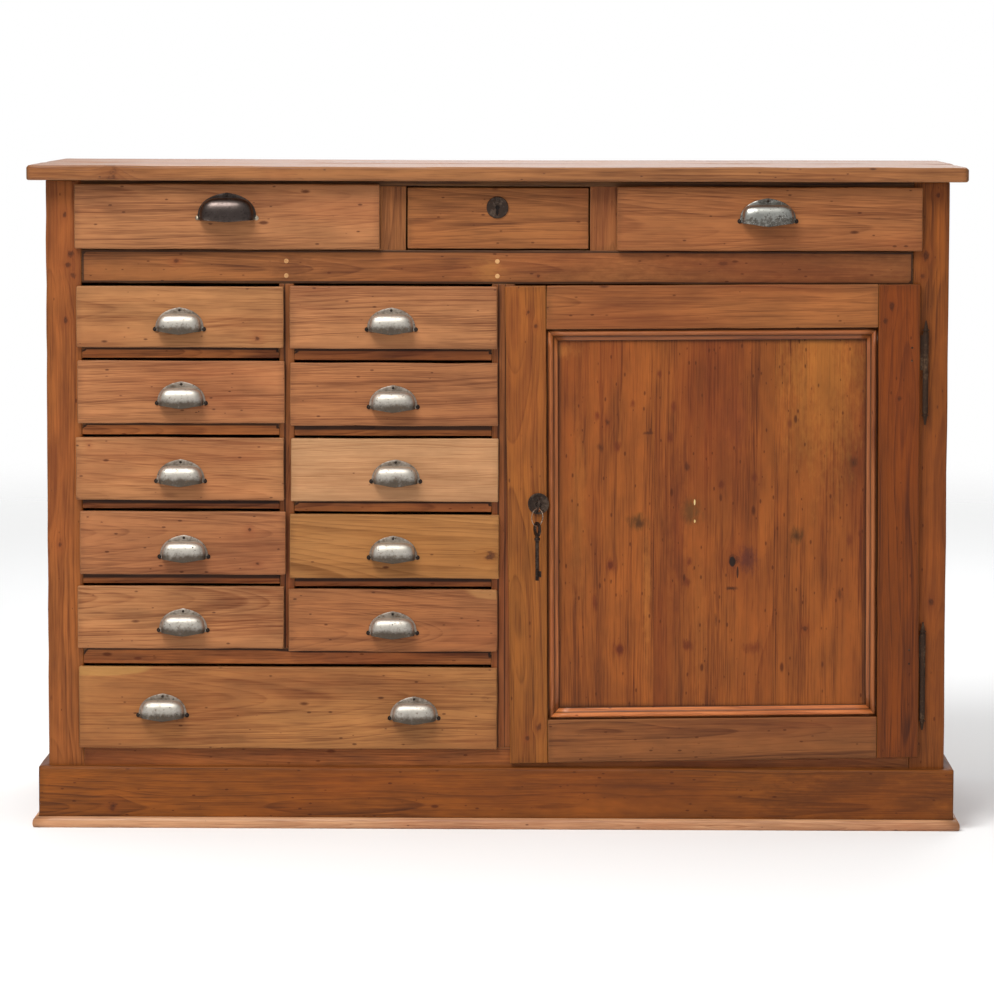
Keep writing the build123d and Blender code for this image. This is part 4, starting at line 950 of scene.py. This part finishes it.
faces_extra = {
    "bottom_drawer": ((-615.0, 2.2, 116.8, 238.1), tone_honey, dict(
        mul=(0.66, 0.62, 0.48), spacing=5.4, pith=(20, -44), tilt=0.035, ring=0.7, speck=0.4, pin=0.14, gain=0.96,
        streaks_and_painted_shade=[(-610.0, 238.0, 112.0, 15.0, srgb(206, 154, 96), 0.75)])),
    "top_drawer_left": ((-618.3, -171.3, 853.7, 949.0), tone_rose, dict(
        mul=(0.70, 0.71, 0.66), spacing=7.0, pith=(34, -28), tilt=0.06, ring=0.65, speck=0.3, pin=0.10, gain=0.97)),
    "top_drawer_right": ((175.3, 621.7, 853.2, 946.5), tone_rose, dict(
        mul=(0.65, 0.58, 0.45), spacing=5.2, pith=(-12, -34), tilt=0.05, ring=0.7, speck=0.4, pin=0.14, gain=0.95)),
    # the two near-black marks on the centre front paint the shade seen through the escutcheon's keyhole
    "top_drawer_centre": ((-131.0, 134.0, 855.0, 944.5), (RUSSET, RUSSET_D, WARM), dict(
        mul=(0.84, 0.84, 0.70), spacing=4.4, pith=(10, -36), tilt=0.05, ring=0.7, speck=0.4, pin=0.14, gain=0.98,
        streaks_and_painted_shade=[(0.7, 915.5, 3.9, 3.9, srgb(22, 12, 8), 1.0), (0.7, 909.0, 2.3, 7.0, srgb(22, 12, 8), 1.0)])),
}
for k in (1, 2, 3, 4, 5):
    hi = 803.5 if k == 1 else rails_l[k - 1][0]
    lo = low_l if k == 5 else rails_l[k][1]
    nm = "drawer_left_%d" % k
    fr, tn, kw = faces[nm]
    drawer(nm, fr, (-609.0, -319.0, lo, hi), face_pine(nm, tn, fr, **kw), seed=100 + k)
    hi = 803.5 if k == 1 else rails_r[k - 1][0]
    lo = low_r if k == 5 else rails_r[k][1]
    nm = "drawer_right_%d" % k
    fr, tn, kw = faces[nm]
    drawer(nm, fr, (-297.0, -7.0, lo, hi), face_pine(nm, tn, fr, **kw), seed=120 + k)
ops = {"bottom_drawer": (-609.0, -7.0, 118.3, low_rail_z0),
       "top_drawer_left": (-609.0, -180.0, 852.5, 946.5),
       "top_drawer_right": (184.0, 609.0, 852.5, 946.5),
       "top_drawer_centre": (-132.7, 135.7, 852.5, 946.5)}
for i, (nm, (fr, tn, kw)) in enumerate(faces_extra.items()):
    drawer(nm, fr, ops[nm], face_pine(nm, tn, fr, **kw), inset=nm == "top_drawer_centre",
           seed=140 + i)

# ---------------------------------------------------------------------------
# door
# ---------------------------------------------------------------------------
door_tl, door_tr = (12.1, 801.0), (618.8, 805.5)
door_bl, door_br = (21.4, 95.8), (622.5, 107.5)
lock_in = ((72.5, 737.9), (76.2, 161.2))
hinge_in = ((558.3, 741.7), (561.3, 168.2))


def at_x(p, q, x):
    return p[1] + (x - p[0]) / (q[0] - p[0]) * (q[1] - p[1])


def at_z(p, q, z):
    return p[0] + (z - p[1]) / (q[1] - p[1]) * (q[0] - p[0])


lt, lb = at_z(*lock_in, at_x(door_tl, door_tr, 73)), at_z(*lock_in, at_x(door_bl, door_br, 76))
ht, hb = at_z(*hinge_in, at_x(door_tl, door_tr, 558)), at_z(*hinge_in, at_x(door_bl, door_br, 561))
top_at = lambda x: at_x(door_tl, door_tr, x)
bot_at = lambda x: at_x(door_bl, door_br, x)


def quad_post(bl, br, tr, tl, x0, x1, z0, z1):
    """Moves an upright rectangle onto four corners."""
    C = np.array([bl, br, tr, tl], float)

    def post(q, p):
        s = (q[:, 0] - x0) / (x1 - x0)
        t = (q[:, 2] - z0) / (z1 - z0)
        w = np.stack([(1 - s) * (1 - t), s * (1 - t), s * t, (1 - s) * t], 1)
        xy = w @ C
        q[:, 0], q[:, 2] = xy[:, 0], xy[:, 1]
        return q
    return post


def member(bl, br, tr, tl, grain, seed, near=(6, 16), dents=0.8, r=2.0, wob=(0.25, 0.12, 0.25)):
    x0, x1 = (bl[0] + tl[0]) / 2, (br[0] + tr[0]) / 2
    z0, z1 = (bl[1] + br[1]) / 2, (tl[1] + tr[1]) / 2
    return board(x0, x1, -10.5, -0.5, z0, z1, grain, r=r, seed=seed, cell=30, near=near,
                 dents=dents, wob=wob, post=quad_post(bl, br, tr, tl, x0, x1, z0, z1))


def knots_at(cx, cz, items):
    """x, z on the cabinet to along, across for upright boards."""
    return [(z - cz, x - cx, r, k) for x, z, r, k in items]


m_lock = pine("lock_stile_wood", srgb(162, 98, 48), srgb(104, 54, 24), WARM, spacing=3.6,
              pith=(-14, -40), tilt=0.012, ring=0.75, speck=0.4, pin=0.14,
              knots=knots_at(45.6, 448.5, [(49.3, 762.5, 2.4, "round"), (60.1, 742.8, 2.6, "oval"),
                                           (43.4, 134.0, 3.4, "round"), (61.0, 150.6, 4.4, "oval")]), mul=(0.78, 0.74, 0.45))
cut = 0.1
emit("door_lock_stile_board", [
    member(door_bl, (lb, bot_at(lb)), (lt, top_at(lt)), door_tl, "zxy", 201),
    board(29.5, 74.0, -0.6, 11.5, 121.5, 800, "zxy", r=0.9, wob=BOX, cell=60, seed=201)],
    m_lock, "door", ["door_lock_stile"])
m_hst = pine("hinge_stile_wood", srgb(138, 76, 34), srgb(84, 40, 16), WARM, spacing=3.2,
             pith=(10, -38), tilt=0.01, ring=0.8, speck=0.4, pin=0.12,
             knots=knots_at(590.2, 453.0, [(578.6, 771.2, 4.6, "oval"), (569.7, 748.1, 4.4, "round"),
                                           (591.2, 634.5, 3.8, "round")]), mul=(0.64, 0.49, 0.12))
emit("door_hinge_stile_board", [
    member((hb, bot_at(hb)), door_br, door_tr, (ht, top_at(ht)), "zxy", 202),
    board(560.5, 606, -0.6, 11.5, 121.5, 800, "zxy", r=0.9, wob=BOX, cell=60, seed=202)],
    m_hst, "door", ["door_hinge_stile"])
m_drl = pine("door_rail_wood", srgb(160, 98, 58), srgb(104, 56, 30), WARM, spacing=3.8, pith=(8, -38),
             tilt=0.02, ring=0.75, blotch=0.8, speck=0.4, pin=0.12, mul=(0.72, 0.71, 0.55))
rails = [
    member((lock_in[0][0] + cut, lock_in[0][1]), (hinge_in[0][0] - cut, hinge_in[0][1]),
           (ht - cut, top_at(ht)), (lt + cut, top_at(lt)), "xzy", 203),
    member((lb + cut, bot_at(lb)), (hb - cut, bot_at(hb)),
           (hinge_in[1][0] - cut, hinge_in[1][1]), (lock_in[1][0] + cut, lock_in[1][1]), "xzy", 204),
    board(74.2, 560.3, -0.6, 11.5, 741.5, 800, "xzy", r=0.9, wob=BOX, cell=60, seed=203),
    board(74.2, 560.3, -0.6, 11.5, 121.5, 162.0, "xzy", r=0.9, wob=BOX, cell=60, seed=204)]
rails[0]["bt"][:], rails[1]["bt"][:] = 0.11, -0.20
emit("door_rail_boards", rails, m_drl, "door", ["door_rails"])

q4 = [lock_in[1], hinge_in[1], hinge_in[0], lock_in[0]]
ccx = sum(p[0] for p in q4) / 4
ccz = sum(p[1] for p in q4) / 4


def grow(pts, d):
    return [(x + d * math.copysign(1, x - ccx), z + d * math.copysign(1, z - ccz)) for x, z in pts]


P_L, P_D = srgb(158, 92, 46), srgb(96, 46, 20)
P_W = srgb(120, 54, 26)
pk = [(349.7, 398.8, 8.0, "oval"), (181.1, 264.9, 4.2, "round"), (168.6, 390.7, 3.6, "oval"),
      (454.3, 297.5, 5.0, "round"), (524.6, 543.6, 7.0, "oval"), (162.6, 600.7, 4.0, "oval")]
RED, OLIVE, BURNT = srgb(104, 42, 22), srgb(88, 58, 28), srgb(70, 32, 18)


def panel_mat(name, cx, x0, x1, **kw):
    ks = [q for q in pk if x0 < q[0] < x1]
    st = [(z - ccz, x - cx, rz, rx, c, a) for x, z, rz, rx, c, a in kw.pop("st", [])]
    sk = [(z - ccz, x - cx, rz, rx, c, a) for x, z, rz, rx, c, a in kw.pop("sk", [])]
    return pine(name, kw.pop("light", P_L), kw.pop("dark", P_D), kw.pop("warm", P_W),
                knots=knots_at(cx, ccz, ks), stains=st, streaks_and_painted_shade=sk, **kw)


# the band at the end of this list paints shade round the panel's border, along the moulding
common = dict(ring=0.5, fibre=0.95, blotch=0.9, mottle=0.4, speck=0.75, pin=0.42, holes=0.05,
              gain=0.97, rough=0.54, tilt=0.006, mul=(0.75, 0.65, 0.37), painted_edge_shade=(0.009, 0.001, 0.46))
m_p1 = panel_mat("panel_wood_1", 152.0, 60, 232, spacing=6.0, pith=(-70, -60),
                 st=[(148.8, 610.0, 9, 5, RED, 0.8), (151.8, 564.0, 8, 4.5, BURNT, 0.75),
                     (177.8, 562.7, 9, 5, RED, 0.8), (199.6, 628.4, 6, 4, RED, 0.7),
                     (223.1, 585.2, 2.5, 8, BURNT, 0.8), (210.0, 454.2, 12, 15, OLIVE, 0.95), (212.0, 452.0, 6, 7, BURNT, 0.5),
                     (168.6, 390.7, 9, 7, RED, 0.7), (181.1, 264.9, 9, 8, RED, 0.7), (146.0, 334.5, 13, 5, RED, 0.7),
                     (90.0, 705.0, 12, 26, srgb(190, 128, 76), 0.45),
                     (221.5, 347.0, 100, 6, srgb(184, 120, 68), 0.5),
                     (120.0, 470.0, 130, 12, srgb(180, 116, 64), 0.35)], **common)
m_p2 = panel_mat("panel_wood_2", 320.0, 232, 408, spacing=6.0, pith=(95, -70),
                 st=[(369.0, 401.0, 22, 17, srgb(92, 46, 44), 0.85),
                     (346.0, 356.5, 3.0, 9.0, srgb(60, 30, 18), 0.85),
                     (284.0, 470.0, 19, 17, srgb(100, 70, 38), 0.8), (284.0, 395.4, 8, 5, RED, 0.75),
                     (279.8, 366.0, 6, 7, RED, 0.65), (282.6, 270.2, 9, 8, RED, 0.8), (378.0, 268.0, 9, 15, RED, 0.6),
                     (323.6, 312.0, 9, 3, BURNT, 0.6),
                     (254.1, 578.0, 8, 5, RED, 0.8), (238.9, 672.9, 6, 4, RED, 0.7),
                     (260.0, 622.2, 9, 5, RED, 0.75), (279.1, 535.3, 7, 4, BURNT, 0.7),
                     (330.6, 509.7, 6, 4, RED, 0.75), (379.2, 521.0, 8, 4, RED, 0.75),
                     (267.0, 437.0, 115, 17, srgb(108, 46, 26), 0.42),
                     (351.0, 601.0, 50, 24, srgb(120, 58, 40), 0.4),
                     (300.0, 300.0, 120, 10, srgb(178, 112, 62), 0.3)],
                 sk=[(291.3, 483.5, 4.4, 1.3, srgb(252, 240, 214), 0.85),
                     (291.6, 455.5, 2.4, 1.3, srgb(250, 232, 200), 0.75),
                     (347.5, 396.0, 8.0, 5.0, srgb(30, 20, 18), 0.95),
                     (355.0, 380.0, 10.0, 1.8, srgb(40, 24, 20), 0.85)], **common)
m_p3 = panel_mat("panel_wood_3", 483.0, 408, 650, spacing=6.0, pith=(60, -60),
                 st=[(478.0, 680.0, 150, 60, srgb(196, 136, 74), 0.38),
                     (442.0, 435.2, 12, 11, OLIVE, 0.95), (443.0, 434.0, 5, 5, BURNT, 0.6), (520.0, 430.0, 10, 5, RED, 0.6),
                     (430.0, 600.0, 7, 4, RED, 0.6), (505.0, 350.0, 9, 4, BURNT, 0.6)], **common)
bb = grow(q4, 8.4)
xa, xb = min(p[0] for p in bb), max(p[0] for p in bb)
za, zb = min(p[1] for p in bb), max(p[1] for p in bb)
for i, (a, b, mt) in enumerate(((xa, 231.99, m_p1), (232.01, 407.99, m_p2), (408.01, xb, m_p3))):
    cc = (152.0, 320.0, 483.0)[i]
    bd = board(a, b, -1.0, 7.0, za, zb, "zxy", r=0.2, wob=(0, 0.0, 0), cell=30, seed=211 + i,
               near=(10, 25, 28, 34, 42))
    bd["grain"] = np.stack([bd["v"][:, 2] - ccz, bd["v"][:, 0] - cc, bd["v"][:, 1]], 1) * 0.001
    # painted shade where the panel meets its moulding, none at the seams
    ex = np.minimum(bd["v"][:, 0] - (xa + 25), (xb - 25) - bd["v"][:, 0])
    ez = np.minimum(bd["v"][:, 2] - (za + 25), (zb - 25) - bd["v"][:, 2])
    seam = np.minimum(np.abs(bd["v"][:, 0] - 232), np.abs(bd["v"][:, 0] - 408)) * 8.0 + 6.0
    bd["edge"] = np.clip(np.minimum(np.minimum(ex, ez), seam), 0.5, 60) * 0.001
    emit("door_panel_board_%d" % (i + 1), [bd], mt, "door", ["door_panel"])

# moulding: a fine sunk quirk, a bead, then a hollow down to the panel
raw = [(0.0, 3.0), (1.4, 3.0), (2.6, 3.1), (3.0, 4.4), (3.6, 6.6), (4.8, 8.4), (6.5, 9.0), (8.2, 8.5),
       (9.4, 7.1), (10.1, 5.7), (11.3, 4.8), (12.8, 4.1), (14.6, 3.5), (16.4, 3.0), (17.0, 2.5),
       (17.0, 0.2), (8.0, 0.2), (0.0, 0.2)]
# the moulding's painted shade is a dark band taken from the edge values set below
m_mould = pine("moulding_wood", srgb(166, 104, 64), srgb(100, 52, 28), DEEP, spacing=3.0, pith=(2, -20),
               tilt=0.01, ring=0.5, fibre=0.8, blotch=0.6, speck=0.25, pin=0.08, rough=0.42, gloss=0.4, mul=(0.90, 0.78, 0.58),
               wear=0.0, painted_edge_shade=(0.0024, 0.0004, 0.70))
parts = []
for ia, ib in ((0, 1), (1, 2), (2, 3), (3, 0)):
    horiz = ia in (0, 2)
    rows = []
    for t in np.linspace(0, 1, 24):
        row = []
        for d, h in raw:
            c = grow(q4, -(0.15 + d))
            A, B = c[ia], c[ib]
            row.append((A[0] + (B[0] - A[0]) * t, -1.02 - h, A[1] + (B[1] - A[1]) * t))
        rows.append(row)
    # dark values paint shade into the quirk, the groove between bead and hollow, and where the moulding meets the panel
    groove_shade_edges = {0.0: 0.2, 1.4: 0.2, 2.6: 1.2, 3.0: 2.6, 9.4: 2.8, 10.1: 0.7, 11.3: 0.9, 12.8: 2.8, 16.4: 0.5, 17.0: 0.2}
    e = [[groove_shade_edges.get(d, 9.0) for d, h in raw] for _ in rows]
    # the bottom strip is made 75% lighter by its tint: a painted highlight where it faces up into the light
    parts.append(strip(rows, closed=True, grain="xzy" if horiz else "zxy", seed=220 + ia,
                       edge=np.array(e), flip=True, tint=(0.75, -0.03, -0.04, 0.08)[ia]))
emit("door_moulding_strips", parts, m_mould, "door", ["door_moulding"])

# ---------------------------------------------------------------------------
# metalwork
# ---------------------------------------------------------------------------
# each metal below is given its amount of painted shade towards the bottom
m_steel = worn_metal("worn_steel", srgb(198, 192, 182), srgb(84, 74, 64), srgb(118, 98, 78),
                     pits=0.05, rough=(0.50, 0.60), cover=0.46, painted_low_shade=0.85, soft=0.22, amp=0.55)
m_pit = worn_metal("pitted_iron", srgb(176, 176, 170), srgb(88, 84, 78), srgb(60, 52, 44),
                   pits=0.42, rough=(0.34, 0.62), cover=0.55, spots=srgb(224, 224, 218), painted_low_shade=0.5)
m_bronze = worn_metal("dark_bronze", srgb(88, 78, 74), srgb(48, 40, 36), srgb(38, 30, 26),
                      pits=0.05, rough=(0.34, 0.52), cover=0.55, painted_low_shade=0.4)
m_plate = worn_metal("pull_plate", srgb(172, 160, 148), srgb(112, 100, 88), srgb(110, 86, 64), pits=0.12,
                     rough=(0.50, 0.68), cover=0.50, painted_low_shade=0.35, soft=0.1, amp=0.8)
m_nail = worn_metal("nail_iron", srgb(58, 48, 42), srgb(26, 20, 17), srgb(46, 30, 20), pits=0.2,
                    rough=(0.5, 0.75), cover=0.6, metal=0.8)
m_screw = worn_metal("bright_screw", srgb(190, 180, 160), srgb(120, 106, 88), srgb(90, 70, 50),
                     pits=0.1, rough=(0.35, 0.5), cover=0.3)


def cup(x, z, y, dims, seed, n_exp=4.0, p_exp=3.5, tilt=0.0):
    """A cast cup pull: a rounded shell over a thin arched plate."""
    cw, chh, cd, pw, phh, drop = dims
    a, wall = cw / 2, 1.8
    T = np.linspace(0, math.pi, 41)
    B = np.linspace(0, math.pi / 2, 15)
    parts = []

    def skin(aa, D, H, ext):
        rows = []
        for b in B[::-1]:
            row = []
            for t in T:
                c, s = math.cos(t), math.sin(t)
                X = aa * math.copysign(abs(c) ** (2 / n_exp), c)
                sg = abs(s) ** (2 / n_exp)
                row.append((X, -D * sg * math.cos(b) ** (2 / p_exp),
                            H * sg * math.sin(b) ** (2 / p_exp)))
            rows.append(row)
        for w in ext:
            row = []
            for t in T:
                c, s = math.cos(t), math.sin(t)
                X = aa * math.copysign(abs(c) ** (2 / n_exp), c)
                sg = abs(s) ** (2 / n_exp)
                f = max(0.0, 1 - abs(X) / (0.86 * a))
                f = f * f * (3 - 2 * f) * 0.55 + f * 0.45
                row.append((X, -D * sg * (1 + 0.012 * w), -drop * w * f * min(1, sg * 1.2)))
            rows.append(row)
        return np.array(rows)

    outer = skin(a, cd, chh, (0.34, 0.68, 0.9, 1.0))
    inner = skin(a - wall, cd - wall, chh - wall, (0.34, 0.68, 0.9, 1.0))
    lip = inner[-1:] * 0.5 + outer[-1:] * 0.5
    lip[..., 2] -= 0.45
    rows = np.concatenate([outer, lip, inner[::-1]])
    rows[:, :, 1] = np.minimum(rows[:, :, 1], -0.4)
    # edge here is the height up the cup: the painted shade darkens the bottom of the cup and the lip in full
    e = np.clip(rows[..., 2], 0, 20)
    parts.append(weld(strip(rows.transpose(1, 0, 2), closed=True, grain="xzy", seed=seed, edge=e.T,
                            flip=True)))
    # plate: an arch with soft edges, two ears
    a0 = pw / 2 - 3.5
    ts = np.linspace(0, math.pi, 45)
    out = np.array([(a0 * math.copysign(abs(math.cos(t)) ** (2 / 2.6), math.cos(t)),
                     1.0 + (phh - 1.0) * math.sin(t) ** (2 / 2.6) * (1 - 0.16 * abs(math.cos(t)) ** 0.7))
                    for t in ts])
    base = np.stack([np.linspace(a0, -a0, 45), np.full(45, 0.6)], 1)
    rows = []
    for s, yy in ((0.0, -1.6), (0.5, -1.6), (0.90, -1.6), (0.97, -1.5), (1.0, -1.15), (1.0, -0.02),
                  (0.0, -0.02)):
        c = base * (1 - s) + out * s
        rows.append(np.stack([c[:, 0], np.full(45, yy), c[:, 1]], 1))
    # the plate's edge values stay near zero, so it takes the painted shade nearly in full
    parts.append(weld(strip(np.array(rows).transpose(1, 0, 2), closed=True, grain="xzy", seed=seed,
                            flip=False, mat=3,
                            edge=np.array([[0.4 + 2 * s for s in (0, .5, .9, .97, 1, 1, 0)]] * 45))))
    for sx in (-1, 1):
        ear = disc(sx * (pw / 2 - 3.4), 2.9, 3.4, -1.6, -0.02, seed=seed, n=22, mat=2)
        # the ears take the painted shade in full
        ear["edge"][:] = 0.0
        parts.append(ear)
    for px, pz, k in ((0.0, phh - 4.2, 1), (-(pw / 2 - 3.6), 2.9, 2), (pw / 2 - 3.6, 2.9, 2)):
        nd = disc(px, pz, 2.0, -1.9, -0.5, seed=seed + 3, n=16, dome=0.9, mat=k)
        parts.append(nd)
    for q in parts:
        q["v"] = q["v"] + np.array([x, y, z])
    return parts


small = (64.0, 26.0, 21.0, 78.0, 35.0, 4.0)
bronze = (80.0, 33.0, 24.0, 93.0, 40.0, 2.2)
iron = (75.0, 27.5, 22.5, 89.0, 36.5, 4.4)
left_pull = {1: (-464.5, 751.3), 2: (-462.1, 642.6), 3: (-463.6, 528.0), 4: (-459.2, 416.3),
             5: (-460.7, 307.5)}
right_pull = {1: (-154.3, 751.7), 2: (-151.4, 637.9), 3: (-147.7, 528.4), 4: (-151.4, 416.0),
              5: (-152.1, 304.3)}
for side, table in (("left", left_pull), ("right", right_pull)):
    for k, (px, pz) in table.items():
        emit("cup_pull_%s_%d" % (side, k), cup(px, pz - 17.5, -10.5, small, 300 + k),
             [m_steel, m_nail, m_nail, m_plate], "drawer_%s_%d" % (side, k), ["pull_%s_%d" % (side, k)],
             own_normals=False)
ps = []
for px, pz in ((-491.5, 181.1), (-120.5, 178.0)):
    ps += cup(px, pz - 17.5, -10.5, small, 320)
emit("cup_pulls_bottom", ps, [m_steel, m_nail, m_nail, m_plate], "bottom_drawer", ["pulls_bottom"],
     own_normals=False)
emit("cup_pull_top_left", cup(-394.6, 916.2 - 19.5, -10.5, bronze, 331, n_exp=3.2, p_exp=3.1),
     [m_bronze, m_nail, m_screw, m_bronze], "top_drawer_left", ["pull_top_left"],
     own_normals=False)
emit("cup_pull_top_right", cup(395.4, 911.8 - 18.0, -10.5, iron, 332, n_exp=4.6, p_exp=3.6),
     [m_pit, m_nail, m_nail, m_pit], "top_drawer_right", ["pull_top_right"],
     own_normals=False)

m_iron = worn_metal("dark_iron_finish", srgb(104, 80, 60), srgb(58, 40, 28), srgb(88, 52, 30),
                    pits=0.3, rough=(0.5, 0.8), cover=0.6, metal=0.85)
m_lockm = worn_metal("lock_iron_finish", srgb(98, 82, 70), srgb(54, 42, 35), srgb(72, 50, 36),
                     pits=0.12, rough=(0.4, 0.7), cover=0.5, metal=0.9)
m_key = worn_metal("key_steel_finish", srgb(80, 68, 60), srgb(40, 30, 26), srgb(60, 40, 28),
                   pits=0.2, rough=(0.35, 0.6), cover=0.45)
m_ring = worn_metal("ring_steel_finish", srgb(186, 168, 150), srgb(130, 104, 84), srgb(120, 86, 62),
                    pits=0.05, rough=(0.25, 0.4), cover=0.3)
nodes = frame["nodes"]
for nm, mt in (("hinge_post_leaves", m_iron), ("hinge_door_leaves", m_iron), ("door_lock", m_lockm),
               ("door_lock_bolt", m_lockm), ("door_key", m_key), ("key_ring", m_ring),
               ("spare_key", m_key), ("drawer_lock", m_lockm), ("drawer_lock_bolt", m_lockm)):
    o = nodes[nm]
    o.data.materials.clear()
    o.data.materials.append(mt)

# ---------------------------------------------------------------------------
# setting: pale floor, soft studio light, camera
# ---------------------------------------------------------------------------
fm, g, p = new_material("pale_floor")
c = g.node("ShaderNodeTexCoord").outputs["Object"]
n = g.noise(g.vm("MULTIPLY", c, (1.4, 1.4, 1.4)), detail=2.0)
g.put(p.inputs["Base Color"], g.mix(n, (0.895, 0.905, 0.92, 1), (0.92, 0.93, 0.945, 1)))
p.inputs["Roughness"].default_value = 0.9
p.inputs["Specular IOR Level"].default_value = 0.1
tr = g.node("ShaderNodeBsdfTransparent")
mx = g.node("ShaderNodeMixShader")
s = g.sep(c)
rad = g.m("SQRT", g.add(g.mul(s[0], s[0]), g.mul(s[1], s[1])))
g.put(mx.inputs[0], g.step(rad, 2.4, 6.0))
g.t.links.new(p.outputs[0], mx.inputs[1])
g.t.links.new(tr.outputs[0], mx.inputs[2])
out = [q for q in g.t.nodes if q.type == "OUTPUT_MATERIAL"][0]
g.t.links.new(mx.outputs[0], out.inputs[0])
me = bpy.data.meshes.new("floor")
ring = [(6.5 * math.cos(t), 6.5 * math.sin(t), 0.0) for t in np.linspace(0, 2 * math.pi, 64, endpoint=False)]
me.from_pydata(ring, [], [list(range(64))])
me.materials.append(fm)
floor = bpy.data.objects.new("floor", me)
bpy.context.scene.collection.objects.link(floor)

world = bpy.data.worlds.new("studio")
bpy.context.scene.world = world
world.use_nodes = True
t = world.node_tree
for nd in list(t.nodes):
    t.nodes.remove(nd)
g = Net(t)
out = g.node("ShaderNodeOutputWorld")
cam_bg = g.node("ShaderNodeBackground")
cam_bg.inputs[0].default_value = (1.0, 1.0, 1.0, 1)
cam_bg.inputs[1].default_value = 1.0
lit = g.node("ShaderNodeBackground")
dirn = g.sep(g.node("ShaderNodeTexCoord").outputs["Generated"])
up = g.step(dirn[2], 0.0, 0.8)
behind = g.mul(g.step(dirn[1], 0.1, 0.7), g.step(dirn[2], 0.55, 0.15))
lit_col = g.mix(up, (0.33, 0.33, 0.335, 1), (0.62, 0.615, 0.60, 1))
lit_col = g.mix(behind, lit_col, (1.15, 1.15, 1.15, 1))
g.put(lit.inputs[0], lit_col)
lit.inputs[1].default_value = 0.9
lp = g.node("ShaderNodeLightPath")
mx = g.node("ShaderNodeMixShader")
t.links.new(lp.outputs["Is Camera Ray"], mx.inputs[0])
t.links.new(lit.outputs[0], mx.inputs[1])
t.links.new(cam_bg.outputs[0], mx.inputs[2])
t.links.new(mx.outputs[0], out.inputs[0])


def area(name, loc, aim, size, power, color=(1, 1, 1)):
    L = bpy.data.lights.new(name, "AREA")
    L.shape = "RECTANGLE"
    L.size, L.size_y = size
    L.energy = power
    L.color = color
    o = bpy.data.objects.new(name, L)
    o.location = loc
    d = np.array(aim, float) - np.array(loc, float)
    import mathutils
    o.rotation_mode = "QUATERNION"
    o.rotation_quaternion = mathutils.Vector(d).to_track_quat("-Z", "Y")
    bpy.context.scene.collection.objects.link(o)
    return o


area("key", (-1.35, -2.5, 3.9), (-0.1, -0.15, 0.5), (2.4, 1.5), 165.0, (1.0, 0.985, 0.96))
fl = area("fill", (0.6, -4.6, 1.7), (0.0, 0.0, 0.5), (3.2, 1.8), 34.0, (1.0, 0.99, 0.98))
fl.visible_glossy = False
area("back_fill", (0.5, 3.4, 3.0), (0.0, 0.2, 0.5), (3.0, 1.6), 60.0)

view = bpy.context.scene.view_settings
view.view_transform = "Standard"
view.look = "None"
view.exposure = 0.0
view.gamma = 1.0

cam = bpy.data.cameras.new("camera")
cam.sensor_width = 36.0
cam.sensor_fit = "HORIZONTAL"
cam.lens = 153.47
cam.shift_x = 0.0
cam.shift_y = -0.08
cam.dof.use_dof = False
cam.clip_start, cam.clip_end = 0.1, 100.0
co = bpy.data.objects.new("camera", cam)
loc = np.array([0.074, -0.2159 - 6.2, 1.1059])
pitch = math.radians(4.603)
yaw = math.radians(0.678)
roll = math.radians(0.126)
import mathutils
rot = (mathutils.Matrix.Rotation(yaw, 3, "Z") @ mathutils.Matrix.Rotation(math.pi / 2 - pitch, 3, "X")
       @ mathutils.Matrix.Rotation(roll, 3, "Z"))
co.matrix_world = mathutils.Matrix.Translation(loc.tolist()) @ rot.to_4x4()
bpy.context.scene.collection.objects.link(co)
bpy.context.scene.camera = co
